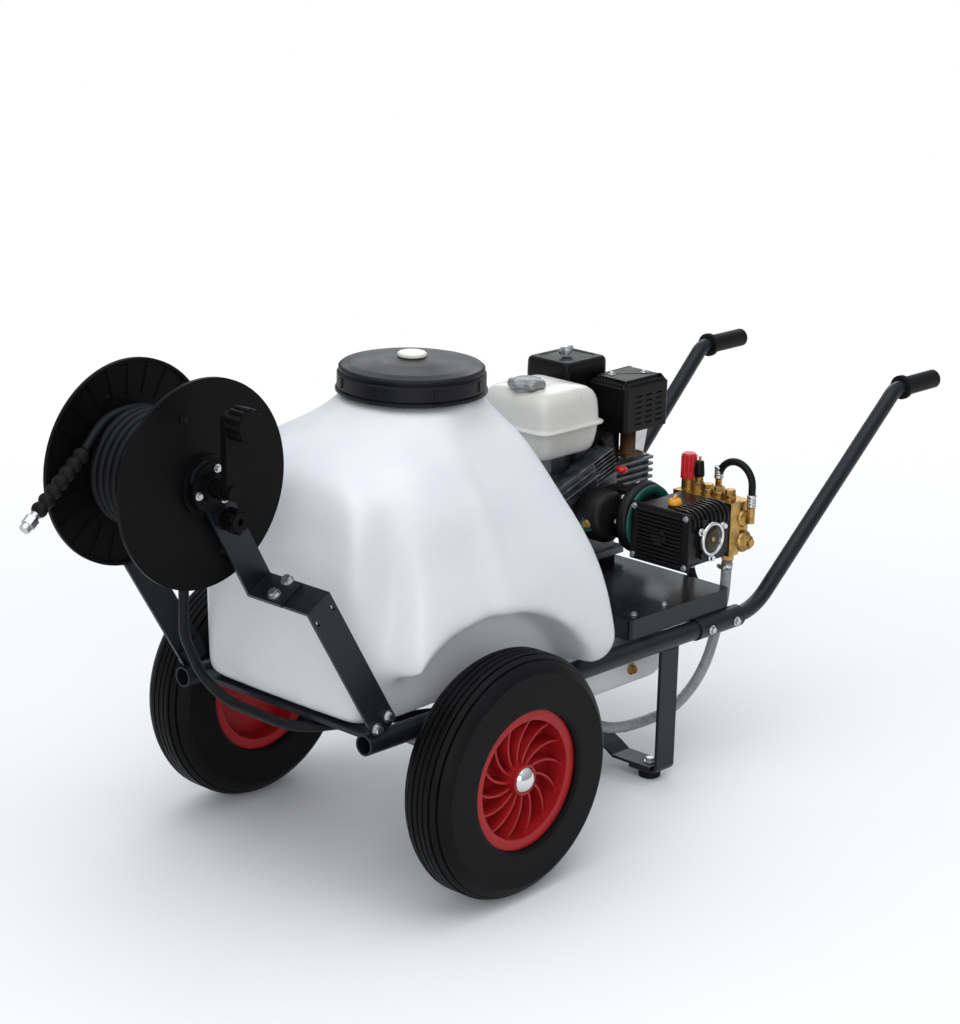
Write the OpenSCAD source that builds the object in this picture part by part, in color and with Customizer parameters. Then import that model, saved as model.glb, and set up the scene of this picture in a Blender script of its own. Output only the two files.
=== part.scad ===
// Wheeled sprayer cart: a tube chassis on two barrow wheels, a moulded tank with a lid,
// a hose reel on folded arms, and an engine, gearbox and triplex pump on a folded deck.
// Millimetres. +X points to the handles, +Y to the operator's right, +Z up, ground at Z = 0.
// The chassis is drawn level about the axle and then pitched, as it stands on its legs.

/* [Chassis] */
// Pitch of the chassis when it stands on its legs, degrees
tilt = 2.6; // [1:0.1:4]
// Outside diameter of the chassis rails
rail_d = 34; // [30:0.5:36]
// Wall of the chassis rails
rail_wall = 3; // [2:0.5:5]
// Gap between the tank's side and a rail
rail_gap = 8; // [6:0.5:12]
// Height of the rail centres with the chassis level
rail_z = 281; // [276:1:284]
// How far the rails reach ahead of the axle
rail_front = 226; // [215:1:240]
// How far the rails reach behind the axle, inside the handle sockets
rail_rear = 648; // [630:1:660]
// Width of the leg strap
leg_w = 46; // [36:1:56]
// Thickness of the leg strap
leg_t = 6; // [5:0.5:8]
// Place of the legs behind the axle
leg_x = 506; // [490:1:520]
// Diameter of the rubber feet
foot_d = 38; // [32:1:42]

/* [Wheels] */
// Outside diameter of the tyres
tyre_d = 400; // [390:2:410]
// Width of the tyres
tyre_w = 98; // [90:1:102]
// Half the distance between the wheel centres
wheel_y = 299; // [296:1:312]
// Diameter of the rim flanges
rim_d = 229; // [222:1:236]
// Diameter of the axle
axle_d = 20; // [16:0.5:25]
// Number of curved rim blades
blade_count = 14; // [10:1:18]
// Thickness of a rim blade
blade_t = 4; // [3:0.5:6]

/* [Handles] */
// Outside diameter of the handle tubes
handle_d = 28; // [25:0.5:30]
// Wall of the handle tubes
handle_wall = 3; // [2:0.5:5]
// Outside diameter of the sockets over the rail ends
socket_d = 39; // [38:0.5:42]
// Where the sockets start behind the axle
socket_x = 571; // [560:1:580]
// Slope of the handles, degrees
handle_rise = 42.7; // [38:0.1:46]
// Where the sloping part would meet the rail line
handle_knee_x = 738; // [730:1:750]
// Height of the hand grips with the chassis level
grip_z = 623.5; // [590:0.5:650]
// Outward lean of the handles, degrees
handle_lean = 2.7; // [0:0.1:5]
// Length of a hand grip
grip_len = 108; // [95:1:120]
// Outside diameter of a hand grip
grip_d = 34; // [32:0.5:40]

/* [Tank] */
// Wall of the moulded tank
tank_wall = 6; // [4:0.5:7]
// Half width of the tank between the rails
tank_half_w = 184; // [176:1:185]
// Place of the filler neck behind the axle
neck_x = 78.7; // [72:0.1:86]
// Height of the tank's filler opening
neck_z = 748; // [744:1:754]
// Radius of the filler opening
neck_r = 100; // [90:1:104]
// Radius of the flared foot of the neck ring
ring_r = 122.5; // [120:0.5:126]
// Height of the closed lid over the neck ring's foot
lid_h = 35; // [32:1:44]

/* [Reel] */
// Place of the reel axis ahead of the axle
reel_front = 438; // [432:1:446]
// Height of the reel axis with the chassis level
reel_z = 708.5; // [702:0.5:716]
// Radius of the reel flanges
flange_r = 158.5; // [150:0.5:164]
// Half the width over the reel flanges
flange_y = 86; // [84:0.5:88]
// Diameter of the hose on the reel
hose_d = 14.5; // [12:0.5:14.5]
// Radius of the hose winding's middle line
wind_r = 85; // [80:0.5:90]
// Diameter of the reel shaft
shaft_d = 28; // [22:0.5:32]
// Length of the crank between shaft and knob
crank_len = 107; // [95:1:115]
// Width of the reel arms and brackets
arm_w = 50; // [44:1:56]
// Thickness of the reel arms and brackets
arm_t = 6; // [5:0.5:8]
// Distance of the arms' inner faces from the middle plane
arm_y = 95; // [95:0.5:100]
// Length of an arm from its fold to the reel axis
arm_len = 200; // [196:1:206]
// Height of a bracket's bolts over its rail
bracket_up = 16.3; // [14:0.1:20]
// Slope of the arms, degrees
arm_slope = 60.2; // [59:0.1:61]
// Slope of the brackets, degrees
bracket_slope = 58.4; // [58:0.1:60]

/* [Deck] */
// Front edge of the engine deck behind the axle
deck_x0 = 400; // [394:1:406]
// Rear edge of the engine deck behind the axle
deck_x1 = 667; // [660:1:672]
// Height of the folded deck
deck_h = 36; // [32:1:42]
// Thickness of the deck sheet
deck_t = 3; // [2:0.5:4]

/* [Engine and pump] */
// Place of the engine crankshaft behind the axle
crank_x = 560; // [554:1:566]
// Height of the engine crankshaft above the deck
crank_up = 124; // [120:1:128]
// Place of the pump shaft behind the axle
pump_x = 608; // [604:1:612]
// Height of the pump shaft above the deck
pump_up = 101; // [98:1:104]
// Width of the pump crankcase along its shaft
pump_w = 126; // [120:1:130]
// Height of the pump crankcase
pump_h = 100; // [94:1:104]
// Diameter of the feed hose
feed_d = 17; // [14:0.5:17]
// Diameter of the clear suction hose
suction_d = 19; // [16:0.5:20]

/* [Clearances] */
// Gap between a fitted piece and the round tube it sits on
seat_gap = 0.1; // [0.05:0.05:0.2]
// Radial running fit of a shaft in its bore
run_gap = 0.1; // [0.05:0.01:0.1]
// Gap beside a part that turns
side_gap = 0.5; // [0.3:0.1:1]

/* [Hidden] */
$fn = 48;

axle_z = tyre_d / 2;
rail_r = rail_d / 2;
rail_y = tank_half_w + rail_gap + rail_r;
rail_top = rail_z + rail_r;
reel_x = -reel_front;
grip_start = 12;
knee_top_x = handle_knee_x + (grip_z - rail_z) / tan(handle_rise);
grip_x1 = knee_top_x + grip_start + grip_len;
grip_top = rail_z + (grip_z - rail_z) * cos(handle_lean) + grip_d / 2;

// The middle of the length, from the front of the reel to the ends of the grips
reel_mid_x = reel_x * cos(tilt) + (reel_z - axle_z) * sin(tilt);
grip_end_x = grip_x1 * cos(tilt) + (grip_top - axle_z) * sin(tilt);
mid_x = (reel_mid_x - flange_r + grip_end_x) / 2;

// Puts a piece drawn on the level chassis where it stands
module on_chassis() {
    translate([-mid_x, 0, axle_z]) rotate([0, tilt, 0]) translate([0, 0, -axle_z]) children();
}

// Draws a left piece, at -Y, or its right twin
module on_side(side) {
    if (side > 0) mirror([0, 1, 0]) children();
    else children();
}

// A solid of revolution about Y: the profile's X is the radius and its Y runs towards -Y
module turned() {
    rotate([90, 0, 0]) rotate_extrude() children();
}

// A bar along Y from y0 to y1
module bar_y(r, y0, y1) {
    translate([0, y1, 0]) rotate([90, 0, 0]) cylinder(r = r, h = y1 - y0);
}

// A bar along X from x0 to x1
module bar_x(r, x0, x1) {
    translate([x0, 0, 0]) rotate([0, 90, 0]) cylinder(r = r, h = x1 - x0);
}

// A box from one corner to the other
module block(x0, y0, z0, x1, y1, z1) {
    translate([x0, y0, z0]) cube([x1 - x0, y1 - y0, z1 - z0]);
}

// A flat shape with round corners
module round_rect(x0, y0, x1, y1, r) {
    translate([x0 + r, y0]) square([x1 - x0 - 2 * r, y1 - y0]);
    translate([x0, y0 + r]) square([x1 - x0, y1 - y0 - 2 * r]);
    for (x = [x0 + r, x1 - r], y = [y0 + r, y1 - r]) translate([x, y]) circle(r = r);
}

// A box with round upright edges
module round_block(x0, y0, z0, x1, y1, z1, r) {
    translate([0, 0, z0]) linear_extrude(z1 - z0) round_rect(x0, y0, x1, y1, r);
}

// A box with all its edges round, for moulded shells
module soft_block(x0, y0, z0, x1, y1, z1, r) {
    hull() for (x = [x0 + r, x1 - r], y = [y0 + r, y1 - r], z = [z0 + r, z1 - r])
        translate([x, y, z]) sphere(r = r, $fn = 16);
}

// A hexagon bolt head on its washer, standing on the plane Z = 0
module bolt_head(af) {
    cylinder(d = af * 1.6, h = af * 0.12);
    translate([0, 0, af * 0.12]) cylinder(d = af * 1.15, h = af * 0.5, $fn = 6);
}

// A tube swept along points, as one closed skin of triangles
function unit(v) = v / norm(v);
function along(p, i) = unit(p[min(i + 1, len(p) - 1)] - p[max(i - 1, 0)]);
function square_to(n, t) = unit(n - (n * t) * t);
function sides_of(p, first) = [
    for (i = 0, n = square_to(first, along(p, 0)); i < len(p);
         i = i + 1, n = i < len(p) ? square_to(n, along(p, i)) : n) n
];
function wrap_faces(rings, n) = [
    for (i = [0 : rings - 2], j = [0 : n - 1])
        let (a = i * n + j, b = i * n + (j + 1) % n)
        each [[a, a + n, b], [b, a + n, b + n]]
];
function fan(start, n, flip) = [
    for (j = [1 : n - 2]) flip ? [start, start + j + 1, start + j] : [start, start + j, start + j + 1]
];
module tube(p, d, n, first) {
    s = sides_of(p, first);
    skin = [
        for (i = [0 : len(p) - 1], j = [0 : n - 1])
            let (t = along(p, i), b = cross(t, s[i]), a = 360 * j / n)
            p[i] + d / 2 * (cos(a) * s[i] + sin(a) * b)
    ];
    faces = concat(wrap_faces(len(p), n), fan(0, n, false), fan((len(p) - 1) * n, n, true));
    polyhedron(skin, faces, convexity = 10);
}

// Chassis tubes and legs

deck_z0 = rail_z + socket_d / 2 + seat_gap;
deck_z1 = deck_z0 + deck_h;
tank_floor = 288;

module rail(side) {
    on_chassis() on_side(side) translate([0, -rail_y, rail_z]) difference() {
        bar_x(rail_r, -rail_front, rail_rear);
        bar_x(rail_r - rail_wall, -rail_front - 1, rail_rear + 1);
    }
}
module left_rail() { color("#1b1f2a") rail(-1); }
module right_rail() { color("#1b1f2a") rail(1); }

// Both rails as solid bars, to cut what is fitted against them
module rail_cut(r) {
    for (s = [-1, 1]) translate([0, s * rail_y, rail_z]) bar_x(r, -rail_front - 9, rail_rear + 9);
}

front_bar_x = -192;
front_bar_w = 26;
front_bar_h = 8;
rear_bar_x = deck_x1 - 45;
rear_bar_w = 30;
rear_bar_h = 8;
module cross_bars() {
    color("#1b1f2a") on_chassis() difference() {
        union() {
            block(front_bar_x - front_bar_w / 2, -rail_y, tank_floor - seat_gap - front_bar_h,
                  front_bar_x + front_bar_w / 2, rail_y, tank_floor - seat_gap);
            block(rear_bar_x - rear_bar_w / 2, -rail_y, rail_z - rear_bar_h / 2,
                  rear_bar_x + rear_bar_w / 2, rail_y, rail_z + rear_bar_h / 2);
        }
        rail_cut(rail_r + seat_gap);
        for (s = [-1, 1]) translate([0, s * rail_y, rail_z])
            bar_x(socket_d / 2 + seat_gap, socket_x - 9, 900);
    }
}

plate_t = 8;
plate_r = 26;
hub_half = 40;
axle_end = wheel_y + hub_half + side_gap + 5;
module axle() {
    color("#8a8d92") on_chassis() translate([0, 0, axle_z]) {
        bar_y(axle_d / 2, -axle_end, axle_end);
        for (s = [-1, 1]) on_side(s)
            bar_y(axle_d / 2 + 5, -wheel_y + hub_half + side_gap, -rail_y - plate_t / 2 - seat_gap);
    }
}

// Plates welded to the rails: two carry the axle and two carry the reel brackets
tab_t = 6;
tab_w = 40;
tab_up = 22;
module weld_plates() {
    color("#1b1f2a") difference() {
        union() {
            on_chassis() for (s = [-1, 1]) translate([0, s * rail_y + plate_t / 2, 0]) rotate([90, 0, 0])
                linear_extrude(plate_t) difference() {
                union() {
                    translate([0, axle_z]) circle(r = plate_r);
                    polygon([[-plate_r, axle_z], [plate_r, axle_z], [plate_r + 14, rail_z],
                             [-plate_r - 14, rail_z]]);
                }
                translate([0, axle_z]) circle(r = axle_d / 2 + seat_gap);
            }
            at_bracket() for (s = [-1, 1]) on_side(s)
                block(-tab_w / 2, -rail_y - tab_t, -bracket_len - bracket_end + 2, tab_w / 2, -rail_y,
                      -bracket_len + tab_up);
        }
        on_chassis() rail_cut(rail_r + seat_gap);
    }
}

// A leg is a strap under its rail, turned in at the foot
leg_y = rail_y + leg_t / 2;
leg_bend = 14;
leg_flange = 62;
leg_foot_z = 36;
foot_in = 34;
foot_y = leg_y - foot_in;
foot_bolt_d = 8;
module leg_outline() {
    translate([0, leg_foot_z + leg_bend]) square([leg_t, rail_z - leg_foot_z - leg_bend]);
    translate([leg_bend, leg_foot_z + leg_bend]) rotate(180) intersection() {
        difference() {
            circle(r = leg_bend);
            circle(r = leg_bend - leg_t);
        }
        square(leg_bend);
    }
    translate([leg_bend, leg_foot_z]) square([leg_flange - leg_bend, leg_t]);
}
module leg(side) {
    on_chassis() difference() {
        on_side(side) translate([leg_x - leg_w / 2, -leg_y, 0]) rotate([90, 0, 90]) linear_extrude(leg_w)
            leg_outline();
        translate([leg_x, side * foot_y, leg_foot_z - 1]) cylinder(d = foot_bolt_d + 0.6, h = leg_t + 2);
        rail_cut(rail_r + seat_gap);
    }
}
module left_leg() { color("#1b1f2a") leg(-1); }
module right_leg() { color("#1b1f2a") leg(1); }

// The strap between the legs lies on their feet and arches up in the middle
brace_t = 5;
brace_y = leg_y - leg_bend - 2;
brace_mid = brace_y - 84;
brace_rise = 36;
module leg_brace() {
    low = leg_foot_z + leg_t;
    rise = [for (i = [-6 : 6]) [brace_mid * i / 6, low + brace_rise * (1 - i * i / 36)]];
    top = concat([[-brace_y, low + brace_t]], [for (p = rise) [p[0], p[1] + brace_t]],
        [[brace_y, low + brace_t]]);
    under = concat([[brace_y, low]], [for (i = [12 : -1 : 0]) rise[i]], [[-brace_y, low]]);
    color("#1b1f2a") on_chassis() difference() {
        translate([leg_x - leg_w / 2, 0, 0]) rotate([90, 0, 90]) linear_extrude(leg_w)
            polygon(concat(top, under));
        for (s = [-1, 1]) translate([leg_x, s * foot_y, low - 1])
            cylinder(d = foot_bolt_d + 0.6, h = brace_t + 2);
    }
}

module rubber_feet() {
    color("#15161a") difference() {
        on_chassis() for (s = [-1, 1]) translate([leg_x, s * foot_y, leg_foot_z]) mirror([0, 0, 1])
            rotate_extrude() polygon([[0, 0], [foot_d / 2 - 2, 0], [foot_d / 2, 5], [foot_d / 2, 44],
                [0, 44]]);
        block(-900, -500, -100, 900, 500, 0);
    }
}

// Handles and grips

knee_r = 110;
crest_r = 40;
knee_len = knee_r * tan(handle_rise / 2);
crest_len = crest_r * tan(handle_rise / 2);
slope_len = (grip_z - rail_z) / sin(handle_rise) - knee_len - crest_len;
socket_x1 = handle_knee_x - knee_len - 4;
grip_end_t = 6;

module handle_place(side) {
    on_chassis() on_side(side) translate([0, -rail_y, rail_z]) rotate([handle_lean, 0, 0]) children();
}
module pipe_x(x0, x1) {
    translate([x0, 0, 0]) rotate([0, 90, 0]) difference() {
        cylinder(d = handle_d, h = x1 - x0);
        translate([0, 0, -1]) cylinder(d = handle_d - 2 * handle_wall, h = x1 - x0 + 2);
    }
}
module pipe_bend(r) {
    rotate_extrude(angle = handle_rise) translate([r, 0]) difference() {
        circle(d = handle_d);
        circle(d = handle_d - 2 * handle_wall);
    }
}
module handle(side) {
    handle_place(side) {
        translate([socket_x, 0, 0]) rotate([0, 90, 0]) difference() {
            cylinder(d = socket_d, h = socket_x1 - socket_x);
            translate([0, 0, -1]) cylinder(r = rail_r + seat_gap, h = rail_rear - socket_x + 2);
        }
        pipe_x(socket_x1, handle_knee_x - knee_len);
        translate([handle_knee_x - knee_len, 0, knee_r]) rotate([90, 0, 0]) rotate(-90) pipe_bend(knee_r);
        translate([handle_knee_x, 0, 0]) rotate([0, -handle_rise, 0])
            pipe_x(knee_len, knee_len + slope_len);
        translate([knee_top_x + crest_len, 0, grip_z - rail_z - crest_r]) rotate([90, 0, 0]) rotate(90)
            pipe_bend(crest_r);
        translate([0, 0, grip_z - rail_z]) pipe_x(knee_top_x + crest_len, grip_x1 - grip_end_t);
    }
}
module left_handle() { color("#1b1f2a") handle(-1); }
module right_handle() { color("#1b1f2a") handle(1); }

collar_d = grip_d + 10;
collar_w = 8;
module grip(side) {
    x0 = knee_top_x + crest_len + 0.3;
    handle_place(side) translate([0, 0, grip_z - rail_z]) difference() {
        union() {
            bar_x(grip_d / 2, x0, grip_x1);
            bar_x(collar_d / 2, x0, x0 + collar_w);
        }
        bar_x(handle_d / 2 + seat_gap, x0 - 1, grip_x1 - grip_end_t + seat_gap);
    }
}
module left_grip() { color("#101114") grip(-1); }
module right_grip() { color("#101114") grip(1); }

// Wheels, drawn at the left with the outer side towards -Y

bead_r = 103;
rim_half = 39.5;
tread_groove = 4;
tyre_mid = tyre_d / 2 - 53;
tyre_round = 56;
tyre_wall = 9;
module wheel_place(side) {
    on_chassis() on_side(side) translate([0, -wheel_y, axle_z]) children();
}
module tyre(side) {
    wheel_place(side) turned() difference() {
        intersection() {
            translate([tyre_mid, 0]) circle(r = tyre_round);
            translate([bead_r, -tyre_w / 2]) square([tyre_d / 2 - bead_r, tyre_w]);
        }
        intersection() {
            translate([tyre_mid, 0]) circle(r = tyre_round - tyre_wall);
            translate([bead_r + 21, -tyre_w / 2 + tyre_wall]) square([99, tyre_w - 2 * tyre_wall]);
        }
        translate([bead_r - 1, -20]) square([24, 40]);
        for (s = [-1, 1]) translate([0, s > 0 ? rim_half - 6.3 : -rim_half - 30])
            square([rim_d / 2 + 0.3, 36.3]);
        for (w = [-33 : 11 : 33])
            translate([min(tyre_d / 2, tyre_mid + sqrt(pow(tyre_round, 2) - w * w)) - tread_groove, w -
                1.5])
            square([9, 3]);
    }
}
module left_tyre() { color("#17181a") tyre(-1); }
module right_tyre() { color("#17181a") tyre(1); }

hub_r = 25;
web_w = -6;
web_t = 5;
blade_out = 28;
blade_r = 74;
blade_at = [48, -56];
module rim(side) {
    wheel_place(side) difference() {
        union() {
            turned() {
                translate([bead_r - 6, -rim_half]) square([5.7, 2 * rim_half]);
                translate([bead_r - 6, rim_half - 6]) square([rim_d / 2 - bead_r + 6, 6]);
                translate([bead_r - 6, -rim_half]) square([rim_d / 2 - bead_r + 6, 6]);
                translate([axle_d / 2, web_w]) square([bead_r - 3 - axle_d / 2, web_t]);
                translate([axle_d / 2, -hub_half]) square([hub_r - axle_d / 2, 2 * hub_half]);
            }
            rotate([90, 0, 0]) translate([0, 0, web_w]) linear_extrude(blade_out - web_w) intersection() {
                difference() {
                    circle(r = bead_r - 4);
                    circle(r = hub_r - 2);
                }
                for (i = [0 : blade_count - 1]) rotate(360 * i / blade_count) difference() {
                    translate(blade_at) circle(r = blade_r);
                    translate(blade_at) circle(r = blade_r - blade_t);
                    translate([-300, -300]) square([300, 600]);
                    translate([-300, -300]) square([600, 300 + blade_at[1]]);
                }
            }
        }
        bar_y(axle_d / 2 + run_gap, -100, 100);
    }
}
module left_rim() { color("#b4201f") rim(-1); }
module right_rim() { color("#b4201f") rim(1); }

cap_r = 21;
module hub_caps() {
    z0 = hub_half + side_gap;
    color("#c9ccd0") for (s = [-1, 1]) wheel_place(s) turned() difference() {
        intersection() {
            translate([0, z0 - 15]) circle(r = 26);
            translate([0, z0]) square([cap_r, 20]);
        }
        square([axle_d / 2 + seat_gap, axle_end - wheel_y + seat_gap]);
    }
}

// The moulded tank: level outlines joined into one skin, with an inner skin one wall inside.
// Each half outline runs from the middle of the nose round the side to the middle of the back.

arch_x = 20;
arch_r = 243;
arch_top = axle_z + arch_r - 1;
hip_floor = 308;
front_hip = 360;
sump_x1 = 572;
sump_z = 184;
sump_half_w = tank_half_w - 26;
ledge_z = 296;
crown = 718;

// Sizes that change with height
function nose_x(z) = lookup(z, [[tank_floor, -198], [302, -214], [500, -222], [604, -217], [636, -208],
    [660, -196], [678, -177], [690, -154], [706, -126], [crown, -112], [neck_z, neck_x - 118]]);
function nose_w(z) = lookup(z, [[tank_floor, tank_half_w - 12], [302, tank_half_w - 3], [520, 180],
    [604, 177], [642, 166], [664, 140], [682, 104], [706, 70], [crown, 60], [neck_z, 56]]);
function crease_x(z) = lookup(z, [[tank_floor, -176], [400, -168], [456, -154], [514, -146], [575, -150],
    [640, -150], [682, -130], [crown, -104], [neck_z, neck_x - 110]]);
function ridge_x(z) = lookup(z, [[front_hip, -142], [400, -144], [500, -126], [614, -112], [crown, -92],
    [neck_z, neck_x - 104]]);
function ridge_w(z) = lookup(z, [[front_hip, tank_half_w], [374, 256], [424, 247], [500, 234], [590, 219],
    [614, 212], [656, 184], [682, 158], [704, 116], [crown, 88], [neck_z, 66]]);
function hip_w(z) = lookup(z, [[hip_floor, 268], [340, 282], [430, 282], [480, 271], [545, 246], [590, 229],
    [612, 220], [650, 188], [682, 164], [704, 143], [crown, 134], [neck_z, 116]]);
function back_w(z) = lookup(z, [[hip_floor, 262], [345, 282], [420, 276], [475, 264], [520, 244],
    [547, 228], [574, 210], [632, 172], [676, 140], [crown, 98], [neck_z, 76]]);
function back_x(z) = lookup(z, [[tank_floor, 296], [345, 304], [420, 288], [520, 268], [574, 250],
    [632, 234], [676, 219], [crown, 206], [neck_z, neck_x + 116]]);
function sump_x0(z) = lookup(z, [[sump_z, 350], [240, 348], [262, 300], [tank_floor - 2, 232]]);
function chord(z) = sqrt(max(24 * 24, arch_r * arch_r - pow(min(z - axle_z, arch_r), 2)));

// The half outline of the body at height z, drawn in by t
function body_half(z, t) =
    let (
        hips = z >= hip_floor, ledge = z < ledge_z, arch = z < arch_top, tip = z > front_hip,
        xf = nose_x(z) + t, wn = nose_w(z) - t, wi = tank_half_w - t,
        xg = ridge_x(z) + 0.4 * t, wr = (tip ? ridge_w(z) : tank_half_w) - t,
        xh = back_x(z) - t, wh = (hips ? hip_w(z) : tank_half_w) - t,
        wb = (hips ? back_w(z) : tank_half_w) - t,
        c = chord(z) + t, n1 = tip ? max(arch_x - c, xg + 6) : xg + 20, n2 = min(arch_x + c, xh - 36),
        rc = 26, rb = hips ? 30 : 20, xb = ledge ? sump_x1 - t : xh,
        we = ledge ? sump_half_w - t : min(sump_half_w - t, wb - rb - 2),
        reach = arch && tip ? max(0, n1 - xg - 6) / (arch_x - 24 - xg - 6) : arch ? 0 : 1,
        wm = wr + (wh - wr) * 0.6 * reach
    ) [
        [xf, 0], [xf + 0.5, wn * 0.45], [xf + 2, wn - rc], [xf + 8, wn - 8], [xf + rc, wn],
        [max(xf + rc + 3, crease_x(z)), wn + (wr - wn) * 0.05], [xg, wr],
        [(xg + n1) / 2, (wr + wm) / 2 + 3 * reach], [n1, wm], [n1 + 2, arch ? wi : wm + 1],
        [(n1 + n2) / 2, arch ? wi : wh + 2],
        [n2 - 2, arch ? wi : wh + (wb - wh) * 0.3], [n2, wh + (wb - wh) * 0.3],
        [(n2 + xh - rb) / 2, wh + (wb - wh) * 0.7], [xh - rb, wb], [xh - rb * 0.3, wb - rb * 0.3],
        [xh, wb - rb],
        [ledge ? xh + 2 : xh, we], [ledge ? xb - 20 : xh, ledge ? we : we * 0.86],
        [ledge ? xb - 6 : xh, ledge ? we - 6 : we * 0.72], [xb, ledge ? we - 20 : we * 0.58],
        [xb, we * 0.25], [xb, 0]
    ];

// The half outline of the sump below the body, from x0 to x1
function sump_half(x0, x1, w) = concat(
    [[x0, 0], [x0, w * 0.3], [x0, w * 0.6], [x0, w - 40]],
    [for (i = [0 : 12]) [x0 + 24 - 24 * cos(90 * i / 12), w - 24 + 24 * sin(90 * i / 12)]],
    [[x0 + 30, w], [x1 - 20, w], [x1 - 6, w - 6], [x1, w - 20], [x1, w * 0.25], [x1, 0]]
);
function neck_half(r) = [for (i = [0 : 22]) [neck_x - r * cos(180 * i / 22), r * sin(180 * i / 22)]];
function shoulder(z) = pow(max(0, min(1, (z - 660) / (neck_z - 660))), 3);
function half(z, t) =
    let (b = shoulder(z), o = body_half(z, t), k = neck_half(neck_r + 16 - t))
    [for (i = [0 : 22]) (1 - b) * o[i] + b * k[i]];

// A whole ring from a half outline, at the height z
function whole(h, z) = concat(
    [for (p = h) [p[0], -p[1], z]],
    [for (i = [21 : -1 : 1]) [h[i][0], h[i][1], z]]
);
function sump_ring(z, at, t, x1) = whole(sump_half(sump_x0(z) + t, x1, sump_half_w - t), at);

body_levels = [
    tank_floor, 295.5, 296.5, 302, 307.5, 308.5, 324, 345, 359.5, 366, 374, 386, 402, 420, 434, 441.5,
    442.5, 465, 500, 545, 580, 604, 622, 642, 660, 672, 682, 692, 706, 718, 730, 740
];
shell_levels = [
    [296.5, 302], [307.5, 313.5], [308.5, 315], [345, 345], [359.5, 366], [368, 375], [386, 391.5],
    [402, 407], [420, 425], [434, 440], [441.5, 447], [442.5, 448.5], [465, 465], [500, 500], [545, 545],
    [580, 580], [614, 612], [642, 638], [660, 655], [672, 666], [682, 676], [706, 699], [718, 711],
    [730, 723]
];
module spray_tank() {
    t = tank_wall;
    slot_x = back_x(ledge_z) - t - 2;
    outer = concat(
        [sump_ring(sump_z, sump_z, 14, sump_x1 - 14), sump_ring(sump_z, sump_z + 5, 4, sump_x1 - 4),
         sump_ring(sump_z, sump_z + 14, 0, sump_x1), sump_ring(240, 240, 0, sump_x1),
         sump_ring(262, 262, 0, sump_x1), sump_ring(tank_floor - 2, tank_floor - 2, 0, sump_x1)],
        [for (z = body_levels) whole(half(z, 0), z)],
        [whole(neck_half(neck_r + 16), neck_z), whole(neck_half(neck_r), neck_z)]
    );
    inner = concat(
        [whole(neck_half(neck_r), neck_z - t)],
        [for (i = [len(shell_levels) - 1 : -1 : 0]) whole(half(shell_levels[i][0], t), shell_levels[i][1])],
        [whole(half(ledge_z + 0.5, t), tank_floor + t),
         sump_ring(tank_floor - 2, tank_floor + t - 1, t, slot_x),
             sump_ring(tank_floor - 2, ledge_z - t, t, slot_x),
         sump_ring(tank_floor - 2, ledge_z - t - 1, t, sump_x1 - t),
         sump_ring(262, 266, t, sump_x1 - t), sump_ring(240, 242, t, sump_x1 - t),
         sump_ring(sump_z, sump_z + t + 10, t, sump_x1 - t),
             sump_ring(sump_z, sump_z + t, 14, sump_x1 - 14)]
    );
    rings = concat(outer, inner);
    count = len(rings) * 44;
    faces = concat(
        wrap_faces(len(rings), 44), [for (j = [0 : 43]) [count, j, (j + 1) % 44]],
        [for (j = [0 : 43]) [count + 1, count - 44 + (j + 1) % 44, count - 44 + j]]
    );
    mids = [[(sump_x0(sump_z) + sump_x1) / 2, 0, sump_z], [(sump_x0(sump_z) + sump_x1) / 2, 0, sump_z + t]];
    color("#e6eaf0") on_chassis() polyhedron(concat([for (r = rings) each r], mids), faces, convexity = 12);
}

// Filler neck and lid, turned about the neck's axis

foot_h = 9;
neck_h = 30;
lid_r = ring_r - 2.5;
lid_top = foot_h + lid_h;
vent_r = 14;
dome_h = 14;
module at_neck() {
    on_chassis() translate([neck_x, 0, neck_z]) children();
}
module neck_ring() {
    color("#17181b") at_neck() rotate_extrude() polygon([
        [neck_r + 1, 0], [neck_r + 15, 0], [ring_r, 2.5], [ring_r, 6], [ring_r - 5, foot_h],
            [neck_r + 8, foot_h],
        [neck_r + 8, neck_h], [neck_r + 1, neck_h]
    ]);
}
module tank_lid() {
    color("#191a1d") at_neck() {
        rotate_extrude() polygon([
            [neck_r + 9.5, foot_h + side_gap], [lid_r, foot_h + side_gap], [lid_r, lid_top - 13],
            [lid_r - 4, lid_top - 10], [lid_r - 5, lid_top - 10], [lid_r - 5, lid_top - 7],
            [lid_r - 2.5, lid_top - 6],
            [lid_r - 2.5, lid_top - 3], [lid_r - 6, lid_top], [lid_r - 22, lid_top + 4],
            [lid_r - 60, lid_top + 10], [vent_r, lid_top + dome_h], [vent_r, neck_h + 1],
            [neck_r + 9.5, neck_h + 1]
        ]);
        for (i = [0 : 7]) rotate(45 * i + 20) block(lid_r - 2, -7, foot_h + 5, lid_r + 2, 7, lid_top - 15);
    }
}
module lid_vent() {
    color("#e9e7de") at_neck() translate([0, 0, lid_top + dome_h]) rotate_extrude() polygon([
        [0, -16], [vent_r - seat_gap, -16], [vent_r - seat_gap, 0], [23.5, 0], [23.5, 4], [21, 6], [0, 7.5]
    ]);
}

// Sump outlet and drain plug
outlet_x = 378;
outlet_y = 22 - sump_half_w;
outlet_len = 26;
drain_x = 468;
drain_z = 222;
module sump_fittings() {
    color("#b58b3a") on_chassis() {
        translate([outlet_x, outlet_y, sump_z - outlet_len]) {
            cylinder(d = suction_d - 5, h = outlet_len - seat_gap);
            translate([0, 0, outlet_len - 10]) cylinder(d = 24, h = 10 - seat_gap, $fn = 6);
        }
        translate([drain_x, -sump_half_w - seat_gap, drain_z]) rotate([90, 0, 0]) {
            cylinder(d = 20, h = 3);
            cylinder(d = 13, h = 10, $fn = 6);
        }
    }
}

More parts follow.
